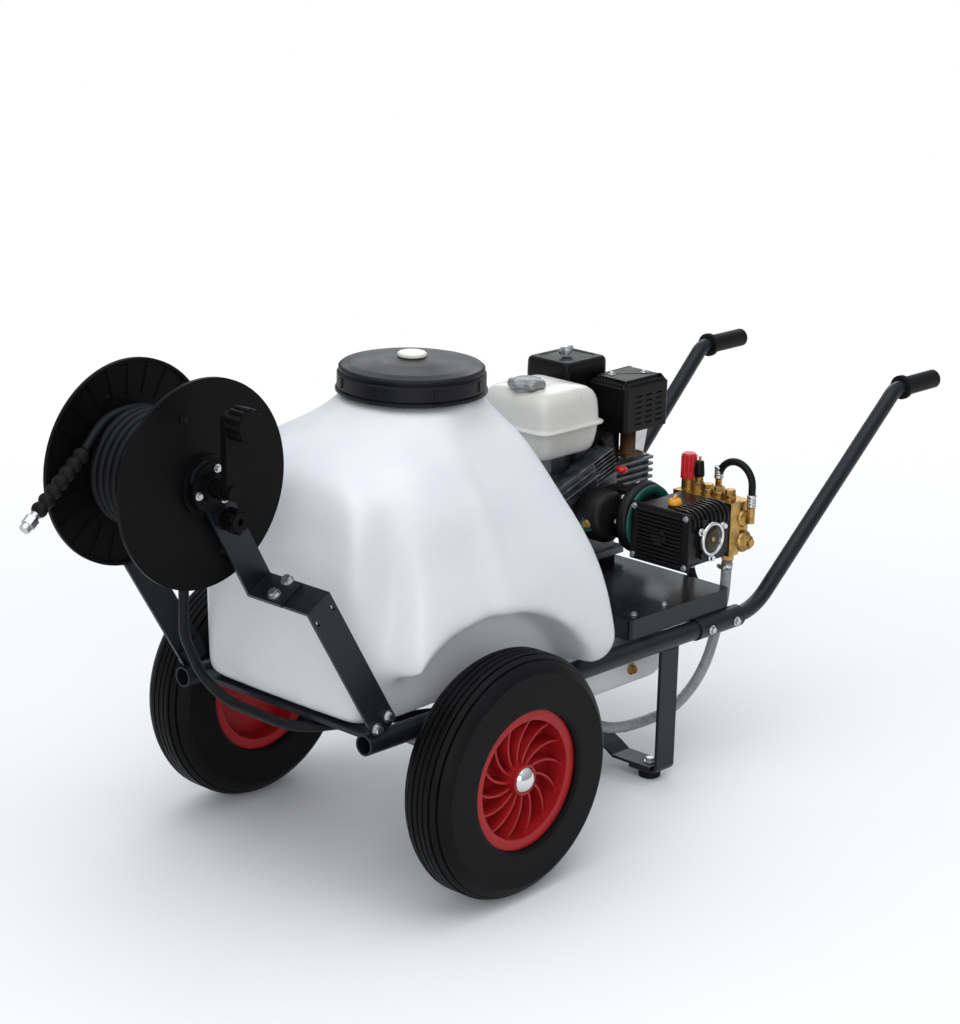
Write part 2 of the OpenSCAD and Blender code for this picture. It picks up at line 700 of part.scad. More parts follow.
// Reel arms and brackets: folded bars, drawn in a frame at the fold with Z up the arm

bracket_y = rail_y + tab_t + seat_gap;
bracket_y1 = bracket_y + arm_t;
fold_x = reel_x + arm_len * cos(arm_slope);
fold_z = reel_z - arm_len * sin(arm_slope);
lap_y = arm_y + 74;
lap_bolt_y = arm_y + 48;
lap_bolt_x = 15.5;
bracket_shift = 4.5;
bracket_end = 16;
bracket_len = (fold_z + bracket_shift * cos(arm_slope) - rail_top - bracket_up) / sin(bracket_slope);
foot_bolt_x = 14.5;
arm_over = 40;
lock_down = 62;
pin_d = 9;
module at_fold() {
    on_chassis() translate([fold_x, 0, fold_z]) rotate([0, arm_slope - 90, 0]) children();
}
module at_bracket() {
    at_fold() translate([bracket_shift, 0, 0]) rotate([0, bracket_slope - arm_slope, 0]) children();
}
module bracket(side) {
    difference() {
        union() {
            at_bracket() on_side(side) {
                block(-arm_w / 2, -bracket_y1, -bracket_len, arm_w / 2, -bracket_y, -2);
                translate([0, -bracket_y, -bracket_len]) rotate([90, 0, 0]) linear_extrude(arm_t)
                    round_rect(-arm_w / 2, -bracket_end, arm_w / 2, 30, 12);
            }
            at_fold() on_side(side) translate([bracket_shift, 0, 0])
                block(-arm_w / 2, -bracket_y1, -arm_t, arm_w / 2, -arm_y - 8, -seat_gap);
        }
        at_bracket() on_side(side) {
            for (x = [-foot_bolt_x, foot_bolt_x]) translate([x, 0, -bracket_len])
                bar_y(4.3, -bracket_y1 - 1, -bracket_y + 1);
            for (x = [-17.5, 17.5]) block(x - 2.5, -bracket_y1 - 1, -32, x + 2.5, -bracket_y + 1, -21);
        }
        at_fold() on_side(side) for (x = [-lap_bolt_x, lap_bolt_x])
            translate([bracket_shift + x, -lap_bolt_y, -arm_t - 1]) cylinder(r = 4.3, h = arm_t + 2);
        on_chassis() rail_cut(rail_r + seat_gap);
    }
}
module arm(side) {
    at_fold() on_side(side) difference() {
        union() {
            block(-arm_w / 2, -arm_y - arm_t, 0, arm_w / 2, -arm_y, arm_len + arm_over - 12);
            translate([0, -arm_y, arm_len + arm_over - 12]) rotate([90, 0, 0]) linear_extrude(arm_t)
                polygon([[-arm_w / 2, 0], [arm_w / 2, 0], [arm_w / 2 - 12, 12], [-arm_w / 2 + 12, 12]]);
            block(-arm_w / 2, -lap_y, 0, arm_w / 2, -arm_y, arm_t);
        }
        translate([0, 0, arm_len]) bar_y(shaft_d / 2 + 1, -arm_y - arm_t - 1, -arm_y + 1);
        translate([0, 0, arm_len - lock_down]) bar_y(pin_d / 2 + run_gap, -arm_y - arm_t - 1, -arm_y + 1);
        for (x = [-lap_bolt_x, lap_bolt_x]) translate([bracket_shift + x, -lap_bolt_y, -1])
            cylinder(r = 4.3, h = arm_t + 2);
    }
}
module left_bracket() { color("#1b1f2a") bracket(-1); }
module right_bracket() { color("#1b1f2a") bracket(1); }
module left_arm() { color("#1b1f2a") arm(-1); }
module right_arm() { color("#1b1f2a") arm(1); }

plate_out = arm_y + arm_t;
plate_h = 6;
boss_h = 14;
module at_reel() {
    on_chassis() translate([reel_x, 0, reel_z]) children();
}
module bearing_plates() {
    color("#16171a") at_reel() for (s = [-1, 1]) on_side(s) turned()
        translate([shaft_d / 2 + run_gap, plate_out]) {
        square([38 - shaft_d / 2, plate_h]);
        square([8, boss_h]);
    }
}

// Reel: drum and shaft, ribbed flanges, hose, crank and knob

drum_r = 39.7;
drum_y = flange_y - 3.2;
hub_out = arm_y - side_gap;
crank_y = plate_out + boss_h + 20;
crank_t = 18;
spindle_d = 14;
module reel_drum() {
    color("#141518") at_reel() {
        bar_y(shaft_d / 2, -crank_y + side_gap, plate_out + boss_h - 1);
        bar_y(spindle_d / 2, -crank_y - crank_t + 2, 0);
        bar_y(drum_r, -drum_y, drum_y);
    }
}
flange_t = 3;
module flange(side) {
    at_reel() on_side(side) difference() {
        union() {
            turned() {
                translate([10, flange_y - flange_t]) square([flange_r - 10, flange_t]);
                translate([flange_r - 5, flange_y - flange_t - 4]) square([5, flange_t + 4]);
                translate([10, flange_y - 1]) square([36, hub_out - flange_y + 1]);
            }
            rotate([90, 0, 0]) translate([0, 0, flange_y - flange_t - 2]) linear_extrude(3) for
                (i = [0 : 23])
                rotate(15 * i) translate([104, -1.5]) square([flange_r - 107, 3]);
        }
        bar_y(shaft_d / 2 + seat_gap, -hub_out - 1, 0);
        for (a = [70, 250]) rotate([0, a, 0]) translate([112, 0, 0]) bar_y(5, -flange_y - 1, 0);
    }
}
module left_flange() { color("#16171a") flange(-1); }
module right_flange() { color("#16171a") flange(1); }

wind_steps = 24;
core_y = flange_y - flange_t - 2.5;
core_r = wind_r * cos(180 / wind_steps) - hose_d / 2 - 0.3;
module hose_core() {
    color("#101113") at_reel() turned() translate([drum_r + 0.3, -core_y])
        square([core_r - drum_r - 0.3, 2 * core_y]);
}

// The outer layer of hose: one helix from the left flange to the right, ending on top
wind_pitch = 15.3;
wind_y = 70;
wind_count = floor(2 * wind_y / wind_pitch * wind_steps);
function wind_at(a, y) = [reel_x - wind_r * sin(a), y, reel_z + wind_r * cos(a)];
function wind_way(a) = [-cos(a), 0, -sin(a)];
wind_a0 = -360 * wind_count / wind_steps;
wind_y0 = wind_y - wind_pitch * wind_count / wind_steps;
helix = [
    for (i = [0 : wind_count])
        wind_at(wind_a0 + 360 * i / wind_steps, wind_y0 + wind_pitch * i / wind_steps)
];
wind_line = concat(
    [helix[0] - hose_d * wind_way(wind_a0)], helix, [helix[wind_count] + hose_d * wind_way(0)]
);
wind_gaps = [
    for (i = [0 : wind_count + 2], j = [i + 12 : min(wind_count + 2, i + 40)])
        norm(wind_line[i] - wind_line[j]) - hose_d
];
echo(winding_least_gap = min(wind_gaps));
module reel_hose() {
    color("#121315") on_chassis() tube(wind_line, hose_d, 6, [1, 0, 0]);
}

// The free end of the hose, off the top of the winding and forward over it
tail_line = [
    [-453, 70, 793.3], [-468, 69.8, 792], [-484, 69, 788.5], [-500, 67, 782], [-517, 62, 773],
        [-533, 57, 761],
    [-545, 54, 751]
];
bead_from = [-546, 53.5, 750.2];
bead_way = unit([-85, -11.5, -61.7]);
bead_pitch = 17.8;
bead_count = 7;
module tail_piece(at, way) {
    translate(at) rotate([0, acos(way[2] / norm(way)), atan2(way[1], way[0])]) children();
}
module hose_tail() {
    color("#121315") on_chassis() tube(tail_line, hose_d, 8, [0, 1, 0]);
}
bead_side = [
    for (i = [0 : bead_count - 1], p = [[10, 0], [12.5, 4], [12.5, 11], [10, 14], [8.5, 14.5]])
        [p[0], p[1] + i * bead_pitch]
];
bead_len = bead_count * bead_pitch;
module bend_restrictor() {
    color("#121315") on_chassis() tail_piece(bead_from, bead_way) rotate_extrude()
        polygon(concat([[0, 0]], bead_side, [[8.5, bead_len], [0, bead_len]]));
}
outlet_d = 16.6;
outlet_h = 9;
module hose_ferrule() {
    color("#b9bcc0") on_chassis() tail_piece(bead_from + (bead_len + seat_gap) * bead_way, bead_way) {
        cylinder(d = 15, h = 8);
        translate([0, 0, 8]) cylinder(d = 22, h = 14, $fn = 6);
        translate([0, 0, 21]) cylinder(d = outlet_d, h = outlet_h + 1);
    }
}

knob_pin_d = 10;
knob_y0 = crank_y + crank_t + side_gap;
knob_len = 34;
module crank_arm() {
    color("#131417") at_reel() difference() {
        union() {
            bar_y(11.5, -crank_y - crank_t, -crank_y);
            translate([0, -crank_y - 2, crank_len]) rotate([90, 0, 0]) cylinder(r = 14.5, h = crank_t - 6);
            translate([0, -crank_y - 2, 0]) rotate([90, 0, 0]) linear_extrude(crank_t - 6)
                polygon([[-11, 4], [11, 4], [14, crank_len], [-14, crank_len]]);
            translate([0, 0, crank_len]) bar_y(knob_pin_d / 2, -knob_y0 - knob_len + 8, -crank_y - 4);
        }
        bar_y(spindle_d / 2 + seat_gap, -crank_y - crank_t + 2 - seat_gap, 0);
    }
}
module crank_knob() {
    color("#131417") at_reel() translate([0, 0, crank_len]) difference() {
        union() {
            bar_y(22, -knob_y0 - knob_len, -knob_y0);
            for (i = [0 : 11]) rotate([0, 30 * i, 0]) translate([22, 0, 0])
                bar_y(4, -knob_y0 - knob_len + 2, -knob_y0 - 2);
        }
        bar_y(knob_pin_d / 2 + run_gap, -knob_y0 - knob_len + 7, -knob_y0 + 1);
    }
}
module lock_knob() {
    color("#131417") at_fold() translate([0, 0, arm_len - lock_down]) difference() {
        union() {
            bar_y(pin_d / 2, -plate_out - 20, -hub_out);
            bar_y(15, -plate_out - 30, -plate_out - side_gap);
            for (i = [0 : 5]) rotate([0, 60 * i, 0]) translate([14, 0, 0])
                bar_y(6, -plate_out - 28, -plate_out - 8);
        }
        translate([0, -plate_out - 22, 0]) rotate([90, 0, 0]) cylinder(r = 6, h = 9, $fn = 6);
    }
}

// Swivel inlet on the right end of the reel, fixed to its bearing plate
swivel_y0 = plate_out + boss_h + seat_gap;
swivel_y = 131;
swivel_drop = 36;
module swivel_inlet() {
    color("#a8abb0") at_reel() {
        bar_y(16, swivel_y0, swivel_y + 14);
        translate([0, swivel_y, -swivel_drop]) {
            cylinder(r = 8, h = swivel_drop);
            cylinder(r = 12, h = 14, $fn = 6);
        }
    }
}

// Engine deck and mounts

module engine_deck() {
    color("#1b1f2a") on_chassis() difference() {
        round_block(deck_x0, -rail_y, deck_z0, deck_x1, rail_y, deck_z1, 8);
        round_block(deck_x0 + deck_t, -rail_y + deck_t, deck_z0 - 1, deck_x1 - deck_t, rail_y - deck_t,
                    deck_z1 - deck_t, 5);
    }
}

engine_z = deck_z1 + 15;
crank_z = deck_z1 + crank_up;
pump_z = deck_z1 + pump_up;
pump_y1 = -77;
pump_y0 = pump_y1 - pump_w;
pump_x0 = pump_x - 52;
pump_x1 = pump_x + 57;
pump_z0 = pump_z - pump_h / 2;
pump_z1 = pump_z + pump_h / 2;
module engine_mounts() {
    color("#2b2d31") on_chassis() {
        for (x = [482, 612], y = [36, 124]) round_block(x, y, deck_z1, x + 36, y + 24, engine_z, 4);
    }
}

// Engine: crankcase and finned cylinder, fan cover, fuel tank, air cleaner and muffler

case_y0 = 22;
case_y1 = 150;
head_end = 742;
head_top = crank_z + 52;
fuel_z0 = crank_z + 91;
air_z0 = crank_z + 140;
module engine_block() {
    color("#33363c") on_chassis() {
        round_block(474, case_y0, engine_z, 656, case_y1, engine_z + 12, 6);
        round_block(478, case_y0 + 6, engine_z + 11, 641, case_y1, head_top, 14);
        translate([crank_x, 0, crank_z]) bar_y(62, case_y0, case_y0 + 8);
        block(640, 46, crank_z - 44, head_end, 138, head_top);
        for (i = [0 : 8]) round_block(636, 36, crank_z - 50 + 12 * i, head_end + 4, 148, crank_z - 46 +
            12 * i, 5);
        block(560, 60, head_top - 1, 640, 140, crank_z + 82);
        block(600, 120, crank_z + 81, 680, 148, air_z0 - seat_gap);
        block(492, 60, head_top - 1, 540, 140, fuel_z0 - seat_gap);
        translate([620, case_y0 + 20, head_top - 1]) cylinder(r = 9, h = 20);
    }
}

fan_r = 106;
fan_y1 = 218;
recoil_y1 = 242;
pull_x = crank_x - 62;
pull_z = crank_z + 62;
pull_y = recoil_y1 - 12;
cord_d = 6;
module fan_cover() {
    color("#1d1f23") on_chassis() difference() {
        union() {
            translate([crank_x, 0, crank_z]) bar_y(fan_r, case_y1, fan_y1);
            translate([crank_x, 0, crank_z]) bar_y(82, fan_y1 - 1, recoil_y1);
            block(pull_x - 16, fan_y1 - 1, pull_z - 16, pull_x + 16, recoil_y1, pull_z + 30);
        }
        translate([crank_x, 0, crank_z]) for (i = [0 : 11]) rotate([0, 30 * i, 0])
            block(30, recoil_y1 - 6, -5, 72, recoil_y1 + 1, 5);
        translate([pull_x, pull_y, pull_z - 8]) cylinder(d = cord_d + 2 * run_gap, h = 60);
        block(fuel_x0, case_y1 - 1, fuel_z0 - side_gap, crank_x + fan_r, fuel_y1 + side_gap, fuel_z0 + 60);
    }
}
module recoil_grip() {
    color("#111214") on_chassis() translate([pull_x, pull_y, pull_z + 30]) {
        translate([0, 0, -30]) cylinder(d = cord_d, h = 32);
        round_block(-28, -7, side_gap, 28, 7, 16, 6);
    }
}

lever_x = 648;
lever_z = crank_z + 110;
lever_y = 196;
module throttle_lever() {
    color("#2a2c30") on_chassis() translate([lever_x, 0, lever_z]) {
        bar_y(10, lever_y, lever_y + 4);
        bar_y(4, 148 + side_gap, lever_y + 1);
        translate([0, lever_y + 4, 0]) rotate([90, 0, 0]) linear_extrude(4)
            polygon([[0, -9], [0, 9], [52, 5], [52, -5]]);
    }
}

fuel_x0 = 422;
fuel_x1 = 576;
fuel_y0 = 20;
fuel_y1 = 190;
seam_z = crank_z + 144;
fuel_z1 = crank_z + 211;
fuel_cap_x = 466;
fuel_cap_y = 100;
filler_r = 20;
module fuel_tank() {
    color("#e8e6df") on_chassis() {
        soft_block(fuel_x0, fuel_y0, fuel_z0, fuel_x1, fuel_y1, fuel_z1, 22);
        round_block(fuel_x0 - 6, fuel_y0 - 6, seam_z - 2, fuel_x1 + 6, fuel_y1 + 6, seam_z + 2, 22);
        translate([fuel_cap_x, fuel_cap_y, fuel_z1 - 4]) cylinder(r = filler_r, h = 14);
    }
}
module fuel_cap() {
    color("#9a9ca0") on_chassis() translate([fuel_cap_x, fuel_cap_y, fuel_z1]) difference() {
        union() {
            translate([0, 0, side_gap]) cylinder(r = 30, h = 15);
            for (i = [0 : 7]) rotate(45 * i) translate([28, 0, side_gap]) cylinder(r = 6, h = 15);
            translate([0, 0, 15]) cylinder(r = 22, h = 4);
        }
        translate([0, 0, -1]) cylinder(r = filler_r + 1, h = 12);
    }
}

air_x0 = 590;
air_x1 = 700;
air_y0 = 116;
air_y1 = 214;
air_z1 = crank_z + 230;
stud_x = 642;
stud_y = 165;
module air_cleaner() {
    color("#141518") on_chassis() {
        round_block(air_x0 + 6, air_y0 + 6, air_z0, air_x1 - 6, air_y1 - 6, air_z0 + 31, 12);
        round_block(air_x0, air_y0, air_z0 + 30, air_x1, air_y1, air_z1 - 4, 14);
        round_block(air_x0 + 5, air_y0 + 5, air_z1 - 5, air_x1 - 5, air_y1 - 5, air_z1, 12);
        translate([stud_x, stud_y, air_z1 - 1]) cylinder(d = 6, h = 15);
        for (i = [0 : 5]) block(air_x0 - 1.5, air_y0 + 16 + 12 * i, air_z0 + 40, air_x0 + 1, air_y0 + 22
            + 12 * i, air_z1 - 14);
    }
}
module wing_nut() {
    color("#c2c5c9") on_chassis() translate([stud_x, stud_y, air_z1 + side_gap]) difference() {
        union() {
            cylinder(r = 8, h = 9);
            for (s = [-1, 1]) translate([s * 11, 2, 8]) rotate([90, 0, 0]) cylinder(r = 7, h = 4);
        }
        translate([0, 0, -1]) cylinder(d = 6 + 2 * run_gap, h = 20);
    }
}

guard_x0 = 640;
guard_x1 = 750;
guard_y0 = 20;
guard_y1 = 108;
guard_z0 = crank_z + 100;
guard_z1 = crank_z + 198;
module muffler() {
    color("#141518") on_chassis() {
        difference() {
            round_block(guard_x0, guard_y0, guard_z0, guard_x1, guard_y1, guard_z1, 10);
            round_block(guard_x0 + 3, guard_y0 + 3, guard_z0 - 1, guard_x1 - 3, guard_y1 - 3, guard_z1 -
                3, 8);
            for (i = [0 : 7]) block(guard_x0 + 16 + 11 * i, guard_y0 - 1, guard_z0 + 30, guard_x0 + 22 +
                11 * i,
                                    guard_y0 + 4, guard_z1 - 16);
            for (i = [0 : 6]) block(guard_x0 - 1, guard_y0 + 12 + 10 * i, guard_z0 + 40, guard_x0 + 4,
                                    guard_y0 + 17 + 10 * i, guard_z1 - 20);
        }
        round_block(guard_x0 + 12, guard_y0 + 14, guard_z0 + 6, guard_x1 - 12, guard_y1 - 12, guard_z1 -
            2, 20);
        block(guard_x0 + 40, 50, head_top + seat_gap, guard_x1 - 30, 90, guard_z0 + 7);
    }
}

// Reduction gearbox between the engine and the pump
gear_y0 = pump_y1 + 5;
module gearbox() {
    color("#26282d") on_chassis() {
        translate([crank_x, 0, crank_z]) bar_y(64, case_y0 - 16, case_y0 - seat_gap);
        translate([0, case_y0 - 15, 0]) rotate([90, 0, 0]) linear_extrude(44) {
            translate([crank_x, crank_z]) circle(r = 56);
            translate([pump_x, pump_z]) circle(r = 58);
            polygon([[crank_x + 24, crank_z + 50.5], [pump_x + 26, pump_z + 51.8],
                [pump_x - 24, pump_z - 52.8],
                     [crank_x - 24, crank_z - 50.5]]);
        }
        translate([pump_x, 0, pump_z]) {
            bar_y(50, gear_y0 + 8, case_y0 - 50);
            bar_y(64, gear_y0, gear_y0 + 10);
            for (i = [0 : 7]) rotate([0, 45 * i, 0]) block(40, gear_y0 + 9, -4, 60, case_y0 - 50, 4);
        }
        translate([crank_x - 50, -10, crank_z - 20]) rotate([0, -90, 0]) cylinder(r = 11, h = 16, $fn = 6);
    }
}

// Triplex pump: crankcase, ribbed cover, brass head and valve block

corner_r = 20;
rib_out = 4;
sight_r = 33;
oil_cap_x = pump_x0 + 28;
oil_cap_y = pump_y0 + 58;
module pump_body() {
    color("#1b1c20") on_chassis() {
        translate([pump_x0, 0, 0]) rotate([90, 0, 90]) linear_extrude(pump_x1 - pump_x0)
            round_rect(pump_y0, pump_z0, pump_y1, pump_z1, corner_r);
        translate([pump_x, 0, pump_z]) bar_y(44, pump_y1 - 1, gear_y0 - seat_gap);
        for (i = [0 : 8]) translate([pump_x0 + 7 + 11.4 * i, 0, 0]) rotate([90, 0, 90])
            linear_extrude(4.6) {
            translate([pump_y0 + corner_r, pump_z1 - corner_r]) circle(r = corner_r + rib_out);
            translate([pump_y0 + corner_r, pump_z1 - corner_r]) square([22, corner_r + rib_out]);
        }
        translate([pump_x - 3, 0, pump_z + 2]) {
            bar_y(sight_r - 3, pump_y0 - 7, pump_y0 + 1);
            for (a = [0, 120, 240]) rotate([0, -a, 0]) translate([sight_r, 0, 0])
                bar_y(7, pump_y0 - 7, pump_y0 + 1);
        }
        translate([oil_cap_x, oil_cap_y, pump_z1 - 1]) cylinder(r = 11, h = 4);
        translate([oil_cap_x, oil_cap_y, pump_z1 + 2]) cylinder(r = 9.5, h = 9);
    }
}
cover_t = 11;
module pump_cover() {
    color("#1b1c20") on_chassis() {
        translate([pump_x0 - 5, 0, 0]) rotate([90, 0, 90]) linear_extrude(5 - seat_gap)
            round_rect(pump_y0 - 2, pump_z0 - 2, pump_y1 + 2, pump_z1 + 2, 8);
        for (i = [0 : 8]) if (i != 4) block(pump_x0 - cover_t, pump_y0 + 12, pump_z0 + 6 + 10.4 * i,
            pump_x0 - 4,
            pump_y1 - 12, pump_z0 + 11 + 10.4 * i);
        block(pump_x0 - cover_t, pump_y0 + 12, pump_z - 7, pump_x0 - 4, pump_y0 + 38, pump_z + 3);
        block(pump_x0 - cover_t, pump_y1 - 38, pump_z - 7, pump_x0 - 4, pump_y1 - 12, pump_z + 3);
        translate([pump_x0 - cover_t, (pump_y0 + pump_y1) / 2, pump_z]) rotate([0, 90, 0])
            cylinder(r = 24, h = 8);
    }
}
head_x0 = pump_x1 + seat_gap;
head_x1 = pump_x1 + 60;
unload_x = 690;
unload_y = -88;
switch_y = -112;
inlet_y = pump_y0 + 20;
outlet_end_y = pump_y1 - 22;
bypass_x = head_x1 - 14;
stem_d = 8;
unload_z = pump_z1 + 18;
module pump_head() {
    color("#b98d3c") on_chassis() {
        block(head_x0, pump_y0 - 2, pump_z0 + 4, head_x0 + 26, pump_y1 + 2, pump_z1);
        round_block(head_x0 + 20, pump_y0 + 2, pump_z0 + 10, head_x1, pump_y1 - 2, pump_z1 - 4, 8);
        for (y = [-134, -158, -182]) translate([unload_x, y, pump_z1 - 6]) {
            cylinder(r = 10.5, h = 14);
            translate([0, 0, 13]) cylinder(r = 9.5, h = 10, $fn = 6);
            translate([18, 0, -22]) rotate([0, 90, 0]) cylinder(r = 10.5, h = 20);
            translate([37, 0, -22]) rotate([0, 90, 0]) cylinder(r = 9, h = 8, $fn = 6);
        }
        translate([unload_x, unload_y, pump_z1 - 6]) {
            cylinder(r = 12, h = unload_z - pump_z1 + 6);
            cylinder(d = stem_d, h = unload_z - pump_z1 + 36);
        }
        translate([unload_x, switch_y, pump_z1 - 6]) {
            cylinder(r = 10, h = 22, $fn = 6);
            cylinder(r = 7.5, h = 34);
            cylinder(r1 = 9, r2 = 6.5, h = 50);
            cylinder(r = 2.6, h = 68);
        }
        for (y = [inlet_y, outlet_end_y]) translate([unload_x, y, pump_z0 - 10])
            cylinder(r = 11, h = 22, $fn = 6);
        translate([bypass_x, -139, pump_z1 - 8]) cylinder(r = 6, h = 31);
        translate([bypass_x, 0, pump_z + 16]) bar_y(6, pump_y0 - 10, pump_y0 + 4);
        translate([bypass_x, pump_y0 - 10, pump_z + 8]) cylinder(r = 7, h = 28);
    }
}
module unloader_knob() {
    color("#c2262b") on_chassis() translate([unload_x, unload_y, unload_z + side_gap]) difference() {
        union() {
            cylinder(r = 13.5, h = 12);
            translate([0, 0, 11]) cylinder(r = 11, h = 34);
            for (i = [0 : 9]) rotate(36 * i) translate([12, 0, 0]) cylinder(r = 2.6, h = 42);
        }
        translate([0, 0, -1]) cylinder(d = stem_d + 2 * run_gap, h = 38);
    }
}

// Hoses between the fixed parts: corners with round numbers, eased to the hose's bend
function bend(a, b, c, r, n) =
    let (
        u = unit(a - b), v = unit(c - b), h = acos(u * v) / 2,
        k = b + unit(u + v) * r / sin(h), e = unit(b + u * r / tan(h) - k)
    ) [for (i = [0 : n]) let (t = (180 - 2 * h) * i / n) k + r * (cos(t) * e - sin(t) * u)];
function eased(p, r, n) = concat(
    [p[0]], [for (i = [1 : len(p) - 2]) each bend(p[i - 1], p[i], p[i + 1], r, n)], [p[len(p) - 1]]
);
hose_lane = sump_half_w + 18;
feed_bend = 4 * feed_d;
feed_line = eased([
    [reel_x, swivel_y, reel_z - 36.5], [reel_x, swivel_y, 626], [-290, 131, 562], [-290, 131, 388],
    [-230, 140, 272], [-230, -62, 268], [60, -hose_lane, 260], [560, -hose_lane, 265],
    [692, -150, 262], [690, -100, 338], [690, -99, 377]
], feed_bend, 3);
suction_line = [
    [690, -183, 377], [690, -182, 360], [690, -181, 330], [690, -178, 300], [690, -170, 264],
    [687, -164, 228], [675, -161, 192], [655, -160, 164], [628, -160, 142], [598, -160, 127],
    [566, -160, 119], [530, -160, 117], [490, -159, 117], [452, -156, 119], [424, -150, 124],
    [402, outlet_y - 7, 132], [387, outlet_y - 2.5, 142], [379, outlet_y, 154.5]
];
bypass_bend = 37;
bypass_line = eased([
    [711, -139, 511.5], [711, -139, 511.5 + bypass_bend], [711, -213, 511.5 + bypass_bend], [711, -213, 475]
], bypass_bend - 0.01, 4);
echo(feed_rings = len(feed_line), bypass_rings = len(bypass_line));
bypass_d = 13;
module feed_hose() {
    color("#121315") on_chassis() tube(feed_line, feed_d, 8, [0, 1, 0]);
}
module suction_hose() {
    color("#9aa0a6") on_chassis() tube(suction_line, suction_d, 8, [0, 1, 0]);
}
module bypass_hose() {
    color("#121315") on_chassis() tube(bypass_line, bypass_d, 8, [1, 0, 0]);
}

// Bolt heads on the frame, the brackets and the pump
module bolts() {
    color("#b9bcc0") {
        for (s = [-1, 1]) {
            at_bracket() on_side(s) for (x = [-foot_bolt_x, foot_bolt_x])
                translate([x, -bracket_y1 - seat_gap, -bracket_len]) rotate([90, 0, 0]) bolt_head(13);
            at_fold() on_side(s) for (x = [-lap_bolt_x, lap_bolt_x])
                translate([bracket_shift + x, -lap_bolt_y, arm_t + seat_gap]) bolt_head(13);
        }
        at_reel() for (s = [-1, 1]) on_side(s) for (a = [15, 135, 255]) rotate([0, a, 0])
            translate([0, -plate_out - plate_h, 29]) rotate([90, 0, 0]) bolt_head(8);
        on_chassis() {
            for (s = [-1, 1]) translate([leg_x, s * foot_y, leg_foot_z + leg_t + brace_t]) bolt_head(13);
            for (y = [pump_y0 + 6, pump_y1 - 6], z = [pump_z0 + 6, pump_z1 - 6])
                translate([pump_x0 - 5 - seat_gap, y, z]) rotate([0, -90, 0]) bolt_head(7);
            for (a = [30 : 120 : 270]) translate([pump_x + 21 * cos(a), pump_y0 - 7, pump_z + 21 * sin(a)])
                rotate([90, 0, 0]) bolt_head(6);
            for (x = [guard_x0 + 22, guard_x1 - 22]) translate([x, (guard_y0 + guard_y1) / 2, guard_z1])
                bolt_head(8);
            for (s = [-1, 1], x = [deck_x0 + 30, deck_x0 + 110])
                translate([x, s * (rail_y - 18), deck_z1]) bolt_head(8);
        }
        for (s = [-1, 1], x = [598, 666]) handle_place(s) translate([x, -socket_d / 2, 0])
            rotate([90, 0, 0]) bolt_head(10);
    }
}

left_rail();
right_rail();
cross_bars();
axle();
weld_plates();
left_leg();
right_leg();
leg_brace();
rubber_feet();
left_handle();
right_handle();
left_grip();
right_grip();
left_rim();
left_tyre();
right_rim();
right_tyre();
hub_caps();
spray_tank();
neck_ring();
tank_lid();
lid_vent();
sump_fittings();
left_bracket();
right_bracket();
left_arm();
right_arm();
bearing_plates();
reel_drum();
left_flange();
right_flange();
hose_core();
reel_hose();
hose_tail();
bend_restrictor();
hose_ferrule();
crank_arm();
crank_knob();
lock_knob();
swivel_inlet();
engine_deck();
engine_mounts();
engine_block();
fan_cover();
recoil_grip();
throttle_lever();
fuel_tank();
fuel_cap();
air_cleaner();
wing_nut();
muffler();
gearbox();
pump_body();
pump_cover();
pump_head();
unloader_knob();
feed_hose();
suction_hose();
bypass_hose();
bolts();
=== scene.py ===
"""Wheeled sprayer cart: finishes, soft forms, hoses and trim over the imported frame. Metres, in the cart's frame."""
import math

import bpy
import bmesh
import numpy as np
from mathutils import Matrix, Vector


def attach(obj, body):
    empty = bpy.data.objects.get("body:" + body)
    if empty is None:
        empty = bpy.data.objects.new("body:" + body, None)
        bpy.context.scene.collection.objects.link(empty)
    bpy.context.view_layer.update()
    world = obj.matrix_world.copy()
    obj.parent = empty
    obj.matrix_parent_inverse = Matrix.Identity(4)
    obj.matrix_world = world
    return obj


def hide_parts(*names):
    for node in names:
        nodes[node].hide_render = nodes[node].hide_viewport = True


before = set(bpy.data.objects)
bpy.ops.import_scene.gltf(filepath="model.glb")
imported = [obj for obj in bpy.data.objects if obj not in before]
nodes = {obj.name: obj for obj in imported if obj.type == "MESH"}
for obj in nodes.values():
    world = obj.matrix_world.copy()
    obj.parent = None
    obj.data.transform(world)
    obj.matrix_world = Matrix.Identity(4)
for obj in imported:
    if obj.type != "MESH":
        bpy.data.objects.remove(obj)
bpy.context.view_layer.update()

# The chassis leans back on its feet; its own sizes are millimetres from the axle
LEAN = math.radians(2.6)
AXLE_Z = 200.0
MID_X = 337.4407


def turn(x, y, z):
    """A direction on the chassis as a direction in the cart's frame."""
    return Vector((x * math.cos(LEAN) + z * math.sin(LEAN), y, z * math.cos(LEAN) - x * math.sin(LEAN)))


def at(x, y, z):
    """A point on the chassis in millimetres as a point in the cart's frame in metres."""
    return (turn(x, y, z - AXLE_Z) + Vector((-MID_X, 0, AXLE_Z))) / 1000


def chassis(origin, toward=(0, 0, 1)):
    """Matrix that stands a piece built about its own Z axis at a chassis point, facing a chassis direction."""
    axis = turn(*toward).normalized()
    side = turn(0, 1, 0) if abs(axis.y) < 0.9 else turn(1, 0, 0)
    x = side.cross(axis).normalized()
    y = axis.cross(x)
    return Matrix.Translation(at(*origin)) @ Matrix((x, y, axis)).transposed().to_4x4()


# Finishes

